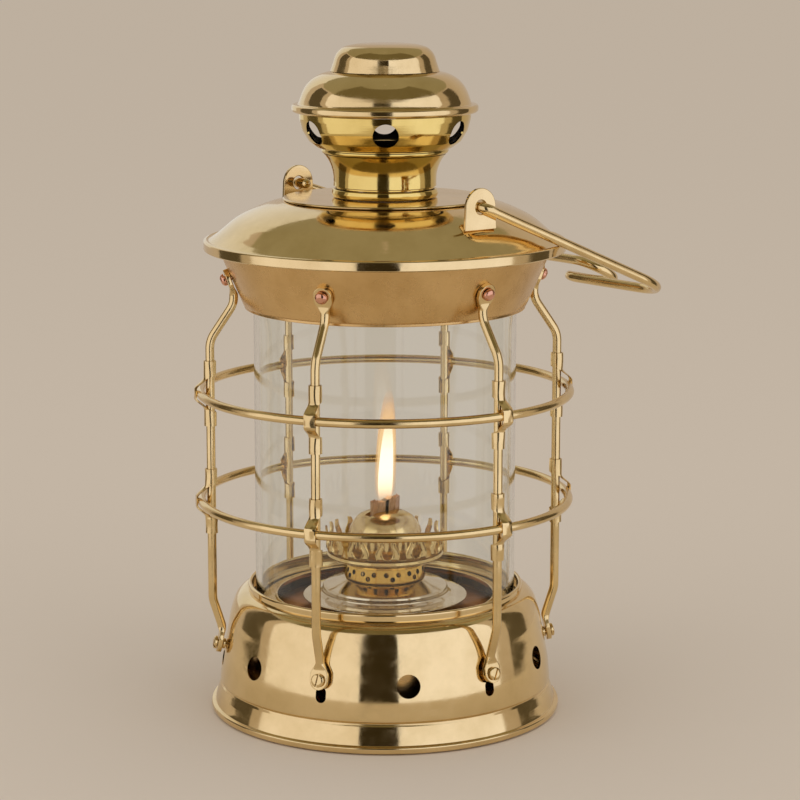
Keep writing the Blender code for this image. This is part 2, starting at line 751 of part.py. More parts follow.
# Bail ears: two upright plates soldered to the roof, each with a round hole for the bail.
ear_width = 17.4 * mm
ear_thickness = 1.6 * mm
ear_hole_diameter = 6.2 * mm
ear_arc_steps = 10
ear_radius = 8.2 * mm
ear_inset = 9.9 * mm
ear_rise = 9.8 * mm
ear_distance = roof_brim_radius - ear_inset


def height_on(line, radius):
    """The height of a falling line of (radius, height) points at one radius."""
    for (outer, low), (inner, high) in zip(line, line[1:]):
        if inner <= radius <= outer and outer > inner:
            return low + (high - low) * (outer - radius) / (outer - inner)
    return line[-1][1]


ear_foot_height = height_on(roof_line, ear_distance - ear_thickness / 2) + fit_gap
hinge_height = ear_foot_height + ear_rise
ear_outline = [(0, ear_width / 2, ear_foot_height), (0, ear_radius, hinge_height)]
for index in range(1, ear_arc_steps):
    angle = math.pi * index / ear_arc_steps
    ear_outline.append((0, ear_radius * math.cos(angle), hinge_height + ear_radius * math.sin(angle)))
ear_outline += [(0, -ear_radius, hinge_height), (0, -ear_width / 2, ear_foot_height)]
ear_mesh = outline_mesh("bail_ear", ear_outline, (ear_thickness, 0, 0))
ear_mesh.transform(Matrix.Translation((ear_distance - ear_thickness / 2, 0, 0)))
ear_bore = rod_along("ear_bore", ear_hole_diameter / 2, (ear_distance - cut_overrun, 0, hinge_height),
                     (ear_distance + cut_overrun, 0, hinge_height), air_hole_sides)
ear_mesh = combined(ear_mesh, [ear_bore], "DIFFERENCE")
place("bail_ear_right", ear_mesh, brass)
place("bail_ear_left", ear_mesh, brass, turn=math.pi)


# Bail: one bent wire with a single-turn hanging eye in the middle, resting on the roof's rim.
bail_stub = 8 * mm
bail_overhang = 42.7 * mm
bail_reach = roof_rim_radius + bail_overhang
bail_corner = 24 * mm
ear_corner = 3.6 * mm
eye_radius = 10.3 * mm
eye_spread = 4.2 * mm
wire_radius = bail_wire_diameter / 2
arm_side = ear_distance + ear_thickness / 2 + 2 * fit_gap + wire_radius
corner_steps = 4
eye_steps = 18
bail_resolution = 1

rim_touch = math.sqrt(roof_rim_radius ** 2 - arm_side ** 2)
rim_drop = hinge_height - roof_rim_height - rim_band
arm_rest = (math.atan2(rim_drop, rim_touch)
            - math.asin((wire_radius + 2 * fit_gap) / math.hypot(rim_touch, rim_drop)))
bail_rest = arm_rest - math.atan2(eye_spread, bail_reach)


def bail_half(side):
    """Half of the bail before the eye, as (x, reach, lift). Each half leans to its own side."""
    points = [(side * (ear_distance - ear_thickness / 2 - bail_stub), 0)]
    points.append((side * (arm_side - ear_corner), 0))
    for index in range(1, corner_steps + 1):
        angle = math.pi / 2 * index / corner_steps
        points.append((side * (arm_side - ear_corner * (1 - math.sin(angle))),
                       ear_corner * (1 - math.cos(angle))))
    for index in range(corner_steps + 1):
        angle = math.pi / 2 * index / corner_steps
        points.append((side * (arm_side - bail_corner * (1 - math.cos(angle))),
                       bail_reach - bail_corner * (1 - math.sin(angle))))
    return [(x, reach, -side * eye_spread * reach / bail_reach) for x, reach in points]


eye_points = []
for index in range(eye_steps + 1):
    turn_share = index / eye_steps
    angle = math.tau * turn_share
    eye_points.append((-eye_radius * math.sin(angle), bail_reach + eye_radius * (1 - math.cos(angle)),
                       eye_spread * (2 * turn_share - 1)))
bail_points = bail_half(1) + eye_points + bail_half(-1)[::-1]
bail_curve = bpy.data.curves.new("bail", "CURVE")
bail_curve.dimensions = "3D"
bail_curve.bevel_depth = wire_radius
bail_curve.bevel_resolution = bail_resolution
bail_curve.use_fill_caps = True
bail_spline = bail_curve.splines.new("POLY")
bail_spline.points.add(len(bail_points) - 1)
for spline_point, (x, reach, lift) in zip(bail_spline.points, bail_points):
    y = reach * math.cos(bail_rest) + lift * math.sin(bail_rest)
    z = -reach * math.sin(bail_rest) + lift * math.cos(bail_rest)
    spline_point.co = (x, y, z, 1)
bail_curve.materials.append(brass)
bail = bpy.data.objects.new("bail", bail_curve)
bpy.context.scene.collection.objects.link(bail)
bail.location = (0, 0, hinge_height)


# Bottom plate: closes the drum, carries the tank and locks on the drum's hooks by its three lugs.
plate_thickness = 1.2 * mm
plate_radius = foot_radius - foot_flat - foot_edge - 2 * fit_gap
upstand_play = 1.0 * mm
upstand_radius = hook_reach - upstand_play
upstand_height = 8 * mm
lug_height = hook_height + hook_thickness + fit_gap
lug_overlap = 3.0 * mm
lug_reach = hook_reach + lug_overlap
plate_line = [
    (0, 0),
    (plate_radius, 0),
    (plate_radius, plate_thickness),
    (upstand_radius, plate_thickness),
    (upstand_radius, upstand_height),
    (upstand_radius - sheet_metal, upstand_height),
    (upstand_radius - sheet_metal, plate_thickness),
    (0, plate_thickness),
]
lugs = turned_copies(
    box_mesh("lug", (upstand_radius - sheet_metal * half, -hook_width / 2, lug_height),
             (lug_reach, hook_width / 2, lug_height + hook_thickness)), hook_count)
plate_mesh = turned_mesh("bottom_plate", plate_line, large_segments)
place("bottom_plate", combined(plate_mesh, lugs, "UNION"), brass)


# Oil tank: a closed brass can with a tall neck for the burner.
tank_clearance = 10.9 * mm
tank_edge = 2 * mm
tank_shoulder_width = 13 * mm
tank_shoulder_rise = 8.6 * mm
tank_below_seat = 4.2 * mm
tank_neck_inset = 2.4 * mm
tank_neck_length = 11.8 * mm
tank_bottom = plate_thickness + fit_gap
tank_radius = wall_low[0] - tank_clearance
tank_top = seat_height - tank_below_seat
tank_side_top = tank_top - tank_shoulder_rise
tank_top_radius = tank_radius - tank_shoulder_width
tank_neck_radius = burner_radius - tank_neck_inset
tank_neck_top = tank_top + tank_neck_length
tank_line = [
    (0, tank_bottom),
    (tank_radius - tank_edge, tank_bottom),
    (tank_radius, tank_bottom + tank_edge),
    (tank_radius, tank_side_top),
    (tank_top_radius, tank_top),
    (tank_neck_radius, tank_top),
    (tank_neck_radius, tank_neck_top),
]
tank_loop = sheet(tank_line)
tank_mesh = turned_mesh("oil_tank", tank_loop, small_segments)
place("oil_tank", tank_mesh, brass)


# Burner plate: a bright stepped disc over the tank, with a tube that drops into its neck.
disc_width = 19.6 * mm
disc_rise = 4.6 * mm
step_width = 9.0 * mm
step_rise = 5.0 * mm
basket_rise = 0.7 * mm
plate_tube_play = 1.4 * mm
disc_radius = burner_radius + disc_width
disc_height = tank_top + disc_rise
step_radius = disc_radius - step_width
step_height = disc_height + step_rise
basket_bottom = tank_neck_top + fit_gap + sheet_metal + fit_gap + basket_rise - fit_gap
plate_tube_radius = tank_neck_radius - sheet_metal - fit_gap
plate_tube_bottom = tank_top + plate_tube_play
disc_line = [
    (disc_radius, disc_height),
    (disc_radius, disc_height + sheet_metal),
    (step_radius, disc_height + sheet_metal + fit_gap),
    (step_radius, step_height),
    (burner_radius, basket_bottom - fit_gap),
    (plate_tube_radius - sheet_metal, basket_bottom - fit_gap),
    (plate_tube_radius - sheet_metal, plate_tube_bottom),
    (plate_tube_radius, plate_tube_bottom),
    (plate_tube_radius, basket_bottom - fit_gap - sheet_metal),
    (burner_radius, basket_bottom - fit_gap - sheet_metal),
    (step_radius - sheet_metal, step_height - sheet_metal * half),
    (step_radius - sheet_metal, disc_height),
]
place("burner_plate", turned_mesh("burner_plate", disc_line, small_segments), tinned)


# Wick tube: a flat brass sleeve that guides the wick. The raiser's wheels reach it through a window.
wick_thickness = 2.6 * mm
tube_wall = 0.6 * mm
tube_dip = 2.6 * mm
tube_rise = 37.4 * mm
basket_wall = 0.6 * mm
wheel_radius = 3.0 * mm
wheel_width = 1.2 * mm
wheel_offset = 3.6 * mm
tube_bottom = tank_top - tube_dip
tube_top = tank_top + tube_rise
raiser_height = basket_bottom + basket_wall + fit_gap + wheel_radius
raiser_side = -(wick_thickness / 2 + fit_gap + wheel_radius)
tube_inner_x = wick_thickness / 2 + fit_gap
tube_inner_y = wick_width / 2 + fit_gap
tube_outer_x = tube_inner_x + tube_wall
tube_outer_y = tube_inner_y + tube_wall
window_margin = 1.0 * mm
tube_mesh = box_mesh("wick_tube", (-tube_outer_x, -tube_outer_y, tube_bottom),
                     (tube_outer_x, tube_outer_y, tube_top))
tube_bore = box_mesh("tube_bore", (-tube_inner_x, -tube_inner_y, tube_bottom - cut_overrun),
                     (tube_inner_x, tube_inner_y, tube_top + cut_overrun))
tube_window = box_mesh(
    "tube_window",
    (-tube_outer_x - cut_overrun, -wheel_offset - wheel_width - window_margin,
     raiser_height - wheel_radius - window_margin),
    (0, wheel_offset + wheel_width + window_margin, raiser_height + wheel_radius + window_margin))
place("wick_tube", combined(tube_mesh, [tube_bore, tube_window], "DIFFERENCE"), brass)


# Wick: a flat cotton strip from the oil up to the flame.
wick_clear = 5.7 * mm
wick_stand = 12 * mm
wick_bottom = tank_bottom + sheet_metal + wick_clear
wick_top = tube_top + wick_stand
place("wick", box_mesh("wick", (-wick_thickness / 2, -wick_width / 2, wick_bottom),
                       (wick_thickness / 2, wick_width / 2, wick_top)), cotton)


# Burner basket: a perforated cup whose floor holds the wick tube and whose ledge holds the deflector.
basket_height = 8.2 * mm
ledge_drop = 2.0 * mm
ledge_width = 3.4 * mm
basket_top = basket_bottom + basket_height
ledge_height = basket_top - ledge_drop
ledge_radius = burner_radius - ledge_width
basket_hole_diameter = 2.4 * mm
basket_hole_count = 8
basket_hole_sides = 6
basket_row_shares = ((0.27, 0), (0.55, half))
basket_line = [
    (0, basket_bottom),
    (burner_radius, basket_bottom),
    (burner_radius, basket_top),
    (burner_radius - basket_wall, basket_top),
    (burner_radius - basket_wall, ledge_height + basket_wall),
    (ledge_radius, ledge_height + basket_wall),
    (ledge_radius, ledge_height),
    (burner_radius - basket_wall, ledge_height),
    (burner_radius - basket_wall, basket_bottom + basket_wall),
    (0, basket_bottom + basket_wall),
]
basket_mesh = turned_mesh("burner_basket", basket_line, small_segments)
basket_cuts = [box_mesh("tube_pass", (-tube_outer_x - fit_gap, -tube_outer_y - fit_gap,
                                      basket_bottom - cut_overrun),
                        (tube_outer_x + fit_gap, tube_outer_y + fit_gap, basket_bottom + cut_overrun))]
for height_share, phase_share in basket_row_shares:
    height = basket_bottom + basket_height * height_share
    row_hole = rod_along("row_hole", basket_hole_diameter / 2,
                         (burner_radius - 2 * basket_wall, 0, height),
                         (burner_radius + cut_overrun, 0, height), basket_hole_sides)
    basket_cuts += turned_copies(row_hole, basket_hole_count,
                                 math.tau * (phase_share + half * half) / basket_hole_count)
spindle_radius = 1.0 * mm
spindle_bore = rod_along("spindle_bore", spindle_radius + fit_gap, (raiser_side, ledge_radius, raiser_height),
                         (raiser_side, burner_radius + cut_overrun, raiser_height), rivet_sides)
basket_cuts.append(spindle_bore)
place("burner_basket", combined(basket_mesh, basket_cuts, "DIFFERENCE"), brass)


# Wick raiser: a spindle with two toothed wheels that bite the wick, and a milled knob on its end.
knob_radius = 4.2 * mm
knob_width = 3.2 * mm
knob_gap = 3.2 * mm
tooth_share = 0.8
mill_share = 0.92
wheel_sides = 12
knob_start = burner_radius + knob_gap
spindle_end = knob_start + knob_width
spindle_line = [
    (0, -wheel_offset - wheel_width),
    (wheel_radius, -wheel_offset - wheel_width),
    (wheel_radius, -wheel_offset),
    (spindle_radius, -wheel_offset),
    (spindle_radius, wheel_offset),
    (wheel_radius, wheel_offset),
    (wheel_radius, wheel_offset + wheel_width),
    (spindle_radius, wheel_offset + wheel_width),
    (spindle_radius, spindle_end),
    (0, spindle_end),
]


def toothed(mesh, above, share):
    """Draw every second row of points in, past a given radius, to make teeth or milling."""
    for point in mesh.vertices:
        radius = math.hypot(point.co.x, point.co.y)
        row = round(math.atan2(point.co.y, point.co.x) / (math.tau / wheel_sides))
        if radius > above and row % 2:
            point.co.x *= share
            point.co.y *= share
    return mesh


lay_along_y = Matrix.Rotation(-math.pi / 2, 4, "X")
spindle_mesh = toothed(turned_mesh("wick_spindle", spindle_line, wheel_sides),
                       2 * spindle_radius, tooth_share)
spindle_mesh.transform(lay_along_y)
place("wick_spindle", spindle_mesh, brass, location=(raiser_side, 0, raiser_height))
knob_line = [
    (spindle_radius + fit_gap, knob_start),
    (knob_radius, knob_start),
    (knob_radius, knob_start + knob_width),
    (spindle_radius + fit_gap, knob_start + knob_width),
]
knob_mesh = toothed(turned_mesh("wick_knob", knob_line, wheel_sides), 2 * spindle_radius, mill_share)
knob_mesh.transform(lay_along_y)
place("wick_knob", knob_mesh, brass, location=(raiser_side, 0, raiser_height))


# Deflector: the dome over the wick, slit for the flame, resting on the basket's ledge.
dome_bottom = ledge_height + basket_wall + fit_gap
dome_foot_radius = burner_radius - basket_wall - fit_gap
dome_height = 23.9 * mm
dome_wall = 0.5 * mm
dome_shares = ((1.0, 0.0), (0.95, 0.54), (0.88, 0.70), (0.73, 0.85), (0.52, 0.945), (0.0, 1.0))
slot_end_play = 2.5 * mm
slot_side_play = 1.0 * mm
dome_top = dome_bottom + dome_height
dome_slot_length = wick_width + 2 * slot_end_play
dome_slot_width = wick_thickness + 2 * slot_side_play
dome_line = [(dome_foot_radius * across, dome_bottom + (dome_top - dome_bottom) * up)
             for across, up in dome_shares]
dome_mesh = turned_mesh("flame_deflector", sheet(dome_line, dome_wall), small_segments)
dome_slot = box_mesh("dome_slot", (-dome_slot_width / 2, -dome_slot_length / 2, tube_top),
                     (dome_slot_width / 2, dome_slot_length / 2, dome_top + cut_overrun))
place("flame_deflector", combined(dome_mesh, [dome_slot], "DIFFERENCE"), brass)


# Gallery: a crown of twelve posts with openings between them and a prong on each post.
gallery_posts = 12
gallery_wall = 0.6 * mm
gallery_foot_radius = burner_radius - basket_wall
gallery_foot_height = basket_top + fit_gap + gallery_wall
gallery_width = 8.6 * mm
bowl_width = 6.6 * mm
bowl_rise = 1.1 * mm
low_rise = 2.2 * mm
waist_rise = 4.0 * mm
band_rise = 4.0 * mm
prong_length = 2.6 * mm
prong_flare = 0.4 * mm
gallery_turn = math.radians(9.5)
gallery_radius = burner_radius + gallery_width
bowl_radius = burner_radius + bowl_width
bowl_height = gallery_foot_height + bowl_rise
gallery_low = bowl_height + low_rise
gallery_waist = gallery_low + waist_rise
gallery_high = gallery_waist + band_rise
prong_top = gallery_high + prong_length
gallery_step = math.tau / gallery_posts
post_low_share = 0.16
post_waist_share = 0.13
opening_share = 0.33
post_high_share = 0.22
prong_share = 0.09


def gallery_point(step_share, radius, height):
    angle = gallery_step * step_share + gallery_turn
    return (radius * math.cos(angle), radius * math.sin(angle), height)


gallery_form = bmesh.new()
for index in range(gallery_posts):
    middle = index + half
    ring = {}

    def corner(key, step_share, radius, height):
        ring[key] = gallery_form.verts.new(gallery_point(step_share, radius, height))

    for side in (-1, 0, 1):
        corner(("foot", side), middle + side * half, gallery_foot_radius, gallery_foot_height)
        corner(("bowl", side), middle + side * half, bowl_radius, bowl_height)
        corner(("low", side), middle + side * half, gallery_radius, gallery_low)
        corner(("high", side), middle + side * half, gallery_radius, gallery_high)
    for side in (-1, 1):
        corner(("waist", side), middle + side * half, gallery_radius, gallery_waist)
        corner(("opening", side), middle + side * (opening_share - post_waist_share * half),
               gallery_radius, gallery_waist)
        corner(("prong_foot", side), middle + side * prong_share, gallery_radius, gallery_high)
        corner(("prong_tip", side), middle + side * prong_share, gallery_radius + prong_flare, prong_top)
    corner("point_low", middle, gallery_radius, gallery_low + (gallery_waist - gallery_low) * post_low_share)
    corner("point_high", middle, gallery_radius,
           gallery_high - (gallery_high - gallery_waist) * post_high_share)
    for side in (-1, 1):
        quads = [
            (ring["foot", 0], ring["foot", side], ring["bowl", side], ring["bowl", 0]),
            (ring["bowl", 0], ring["bowl", side], ring["low", side], ring["low", 0]),
            (ring["low", 0], ring["low", side], ring["opening", side], ring["point_low"]),
            (ring["low", side], ring["waist", side], ring["opening", side]),
            (ring["opening", side], ring["waist", side], ring["high", side]),
            (ring["point_high"], ring["opening", side], ring["high", side], ring["prong_foot", side]),
            (ring["point_high"], ring["prong_foot", side], ring["high", 0]),
        ]
        for quad in quads:
            gallery_form.faces.new(quad if side > 0 else quad[::-1])
    gallery_form.faces.new((ring["high", 0], ring["prong_foot", 1], ring["prong_tip", 1],
                            ring["prong_tip", -1], ring["prong_foot", -1]))
bmesh.ops.remove_doubles(gallery_form, verts=gallery_form.verts, dist=weld)
gallery_mesh = finish_mesh("burner_gallery", gallery_form)
gallery = place("burner_gallery", gallery_mesh, brass)
thicken = gallery.modifiers.new("wall", "SOLIDIFY")
thicken.thickness = gallery_wall
thicken.offset = 1
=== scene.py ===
# Brass hurricane lamp with a clear chimney, an oil burner and a cage of bent rods.
# Every surface and finish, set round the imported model. Metres, +Z up.
import json
import math

import bmesh
import bpy
import numpy as np
from mathutils import Matrix, Vector


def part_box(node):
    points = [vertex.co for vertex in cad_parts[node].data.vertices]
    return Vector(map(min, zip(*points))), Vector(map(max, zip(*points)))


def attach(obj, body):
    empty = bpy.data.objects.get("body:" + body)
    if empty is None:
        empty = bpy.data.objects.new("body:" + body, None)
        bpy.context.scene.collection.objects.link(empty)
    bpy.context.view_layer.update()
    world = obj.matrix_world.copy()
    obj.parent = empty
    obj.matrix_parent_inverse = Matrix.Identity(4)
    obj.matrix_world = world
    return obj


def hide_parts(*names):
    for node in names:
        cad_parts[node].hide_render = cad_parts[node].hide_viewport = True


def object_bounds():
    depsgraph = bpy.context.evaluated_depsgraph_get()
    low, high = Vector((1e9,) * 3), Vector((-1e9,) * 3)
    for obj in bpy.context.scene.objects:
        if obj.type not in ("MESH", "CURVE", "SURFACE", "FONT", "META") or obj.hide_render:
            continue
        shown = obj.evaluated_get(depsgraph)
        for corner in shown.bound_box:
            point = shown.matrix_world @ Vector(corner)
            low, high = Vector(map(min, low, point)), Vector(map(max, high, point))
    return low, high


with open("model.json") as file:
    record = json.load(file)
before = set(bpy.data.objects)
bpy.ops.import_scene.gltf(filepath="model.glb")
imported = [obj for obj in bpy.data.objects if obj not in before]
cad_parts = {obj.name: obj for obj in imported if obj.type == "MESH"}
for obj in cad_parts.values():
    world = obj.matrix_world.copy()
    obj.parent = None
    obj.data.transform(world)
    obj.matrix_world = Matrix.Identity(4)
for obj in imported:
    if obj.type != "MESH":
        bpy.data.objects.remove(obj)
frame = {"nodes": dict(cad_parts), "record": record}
cad_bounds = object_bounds()


# Drum: the foot of the lamp, spun from brass sheet and polished. Its foot is rolled, its shoulder
# ends in a rolled lip for the glass, and air enters by six round holes and six slots under the rods.
mm = 0.001
sheet_wall = 0.8 * mm
point_spacing = 1.5 * mm
arc_points = 9
fine_segments = 192
rod_count = 6
rod_step = math.tau / rod_count
crease_angle = math.radians(30)
merge_distance = 0.0005 * mm


def unit(vectors):
    """Each vector divided by its length."""
    return vectors / np.maximum(np.linalg.norm(vectors, axis=-1, keepdims=True), 1e-12)


def run_length(line):
    """The distance along a line to each of its points."""
    return np.r_[0, np.cumsum(np.linalg.norm(np.diff(line, axis=0), axis=1))]


def at_places(line, length, places):
    """The points of a line at some distances along it, where length holds its own points' distances."""
    return np.column_stack([np.interp(places, length, column) for column in line.T])


def rounded(corners, closed=False):
    """Corners (across, up, bend) joined by straight runs, with an arc of radius bend at each corner.

    The arc starts bend / tan(half the corner's angle) before the corner, and its centre lies on the
    bisector. Long runs get extra points, so that smooth shading doesn't bleed along them.
    """
    corners = np.asarray(corners, float)
    points, bends = corners[:, :2], corners[:, 2]
    before, after = np.roll(points, 1, axis=0), np.roll(points, -1, axis=0)
    if not closed:
        before[0] = 2 * points[0] - points[1]
        after[-1] = 2 * points[-1] - points[-2]
    room = np.minimum(*(np.linalg.norm(next_to - points, axis=1) for next_to in (before, after))) * 0.49
    back, ahead = unit(before - points), unit(after - points)
    half_angle = np.arccos(np.clip((back * ahead).sum(axis=1), -1, 1)) / 2
    half_angle = np.clip(half_angle, 1e-3, math.pi / 2 - 1e-4)
    reach = np.minimum(bends / np.tan(half_angle), room)
    bend = reach * np.tan(half_angle)
    centre = points + unit(back + ahead) * (bend / np.sin(half_angle))[:, None]
    start, end = (points + way * reach[:, None] - centre for way in (back, ahead))
    sweep = (math.pi - 2 * half_angle)[:, None, None]
    share = np.linspace(0, 1, arc_points)[None, :, None]
    arcs = centre[:, None] + (np.sin((1 - share) * sweep) * start[:, None]
                              + np.sin(share * sweep) * end[:, None]) / np.sin(sweep)
    line = arcs.reshape(-1, 2)
    if closed:
        line = np.vstack([line, line[:1]])
    length = run_length(line)
    kept = np.r_[True, np.diff(length) > 1e-7]
    line, length = line[kept], length[kept]
    extra = np.arange(0, length[-1], point_spacing)
    clear = np.abs(extra[:, None] - length[None, :]).min(axis=1) > point_spacing / 3
    line = at_places(line, length, np.sort(np.r_[length, extra[clear]]))
    return line[:-1] if closed else line


def curved(points, steps=6):
    """Corners (across, up, bend) along a smooth line through points, close enough to need no bend.

    Each span is half of 2 b + (c - a) t + (2 a - 5 b + 4 c - d) t^2 + (3 b - a - 3 c + d) t^3, for the
    four points a, b, c, d round it and t from 0 to 1 (a Catmull-Rom spline).
    """
    points = np.asarray(points, float)
    held = np.vstack([2 * points[0] - points[1], points, 2 * points[-1] - points[-2]])
    a, b, c, d = (held[first:len(held) - 3 + first, None] for first in range(4))
    t = np.linspace(0, 1, steps, endpoint=False)[None, :, None]
    line = (2 * b + (c - a) * t + (2 * a - 5 * b + 4 * c - d) * t ** 2 + (3 * b - a - 3 * c + d) * t ** 3) / 2
    line = np.vstack([line.reshape(-1, 2), points[-1:]])
    return np.column_stack([line, np.zeros(len(line))])


def walled(corners, wall, bridge=()):
    """The corners of a sheet: the outer line, the bridge, then the outer line moved to its left by wall.

    A corner that turns to the left keeps its centre, so its bend is smaller by wall on the inside.
    """
    steps = unit(np.diff(corners[:, :2], axis=0))
    left = np.column_stack([-steps[:, 1], steps[:, 0]])
    first, last = np.vstack([left[:1], left]), np.vstack([left, left[-1:]])
    mitre = (first + last) / (1 + (first * last).sum(axis=1))[:, None]
    turning = np.sign(first[:, 0] * last[:, 1] - first[:, 1] * last[:, 0])
    bends = np.maximum(corners[:, 2] - turning * wall, 0) * (corners[:, 2] > 0)
    inner = np.column_stack([corners[:, :2] + mitre * wall, bends])
    inner[:, 0] = np.maximum(inner[:, 0], 0)
    return np.vstack([corners, np.reshape(bridge, (-1, 3)), inner[::-1]])


def finished_mesh(form):
    """Merge what coincides, such as poles and seams, face outwards, and shade smooth but for creases."""
    bmesh.ops.remove_doubles(form, verts=form.verts, dist=merge_distance)
    bmesh.ops.recalc_face_normals(form, faces=form.faces)
    mesh = bpy.data.meshes.new("surface")
    form.to_mesh(mesh)
    form.free()
    mesh.shade_smooth()
    mesh.set_sharp_from_angle(angle=crease_angle)
    return mesh


def joined(meshes):
    """One finished mesh in place of several."""
    form = bmesh.new()
    for mesh in meshes:
        form.from_mesh(mesh)
        bpy.data.meshes.remove(mesh)
    return finished_mesh(form)


def grid_faces(index):
    """The faces between neighbours in a grid of point numbers."""
    corners = (index[:-1, :-1], index[:-1, 1:], index[1:, 1:], index[1:, :-1])
    return np.stack(corners, axis=-1).reshape(-1, 4)


def grid_mesh(grid, rows_meet=False, columns_meet=True):
    """A surface from a grid of points (rows, columns, 3): each four neighbours make a face."""
    index = np.arange(grid[..., 0].size).reshape(grid.shape[:2])
    if rows_meet:
        index = np.vstack([index, index[:1]])
    if columns_meet:
        index = np.hstack([index, index[:, :1]])
    mesh = bpy.data.meshes.new("grid")
    mesh.from_pydata(grid.reshape(-1, 3).tolist(), [], grid_faces(index).tolist())
    return joined([mesh])


def turned(line, segments=fine_segments, closed=True):
    """A line of (radius, height) turned about Z: x = radius cos a, y = radius sin a."""
    angle = np.arange(segments) * math.tau / segments
    radius, height = line[:, :1], line[:, 1:]
    grid = np.stack([radius * np.cos(angle), radius * np.sin(angle), height + 0 * angle], axis=-1)
    return grid_mesh(grid, rows_meet=closed)


def spun(outline, foot=0.0, wall=0.0, bridge=(), segments=fine_segments, closed=True):
    """An outline (radius, height above the foot, bend) in millimetres, turned about Z.

    With a wall it is the outside of a sheet. An open outline starts and ends on the axis.
    """
    corners = np.array(outline) * mm + (0, foot, 0)
    if wall:
        corners = walled(corners, wall, np.array(bridge) * mm)
    return turned(rounded(corners, closed), segments, closed)


def facing(way):
    """The turn that lays Z along a vector."""
    return way.to_track_quat("Z", "Y").to_matrix().to_4x4()


def bore(middle, way, reach, radius, sides=64):
    """A cylinder that reaches both ways from its middle, for boring holes."""
    form = bmesh.new()
    bmesh.ops.create_cone(form, cap_ends=True, segments=sides, radius1=radius, radius2=radius,
                          depth=2 * reach, matrix=Matrix.Translation(middle) @ facing(way))
    return finished_mesh(form)


def prism(outline, depth):
    """An outline of (x, y, z) points pushed along the vector depth, for cutting shaped openings."""
    form = bmesh.new()
    face = form.faces.new([form.verts.new(point) for point in outline])
    grown = bmesh.ops.extrude_face_region(form, geom=[face])
    moved = [item for item in grown["geom"] if isinstance(item, bmesh.types.BMVert)]
    bmesh.ops.translate(form, verts=moved, vec=depth)
    return finished_mesh(form)


def turned_by(mesh, angle):
    """The mesh itself, turned about Z."""
    mesh.transform(Matrix.Rotation(angle, 4, "Z"))
    return mesh


def turned_copies(mesh, count=rod_count, first=0.0):
    """Copies of a mesh in equal steps round Z."""
    return [turned_by(mesh.copy(), first + math.tau * index / count) for index in range(count)]


def placed(name, data):
    """A new object in the scene, at the origin."""
    item = bpy.data.objects.new(name, data)
    bpy.context.scene.collection.objects.link(item)
    return item


def cut(mesh, tools):
    """Take the tools, which don't touch each other, out of a closed mesh."""
    whole, tool = placed("whole", mesh), placed("tool", joined(tools))
    change = whole.modifiers.new("cut", "BOOLEAN")
    change.operation, change.solver, change.object = "DIFFERENCE", "EXACT", tool
    graph = bpy.context.evaluated_depsgraph_get()
    result = bpy.data.meshes.new_from_object(whole.evaluated_get(graph), depsgraph=graph)
    for item in (whole, tool):
        bpy.data.objects.remove(item, do_unlink=True)
    return joined([result])


def add_piece(name, mesh, paint, body, *nodes, slot="polished_brass"):
    """Put a finished mesh in the scene in place of its CAD nodes, riding on its body."""
    piece = placed(name, mesh)
    mesh.name = name
    mesh.materials.clear()
    mesh.materials.append(paint)
    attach(piece, body)
    if nodes:
        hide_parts(*nodes)
    return piece


def set_inputs(tree, node, inputs):
    """Set a node's inputs, or join them to other nodes' outputs."""
    for key, value in dict(inputs).items():
        if isinstance(value, bpy.types.NodeSocket):
            tree.links.new(value, node.inputs[key])
        else:
            node.inputs[key].default_value = value
    return node


def add_node(tree, kind, inputs=(), **settings):
    """A shader node with its settings and inputs."""
    node = tree.nodes.new("ShaderNode" + kind)
    for key, value in settings.items():
        setattr(node, key, value)
    return set_inputs(tree, node, inputs)


def new_paint(name):
    """A new material and its node tree."""
    paint = bpy.data.materials.new(name)
    paint.use_nodes = True
    return paint, paint.node_tree


def shade(tree, inputs):
    """Set or join the inputs of a material's own shader."""
    set_inputs(tree, tree.nodes["Principled BSDF"], inputs)


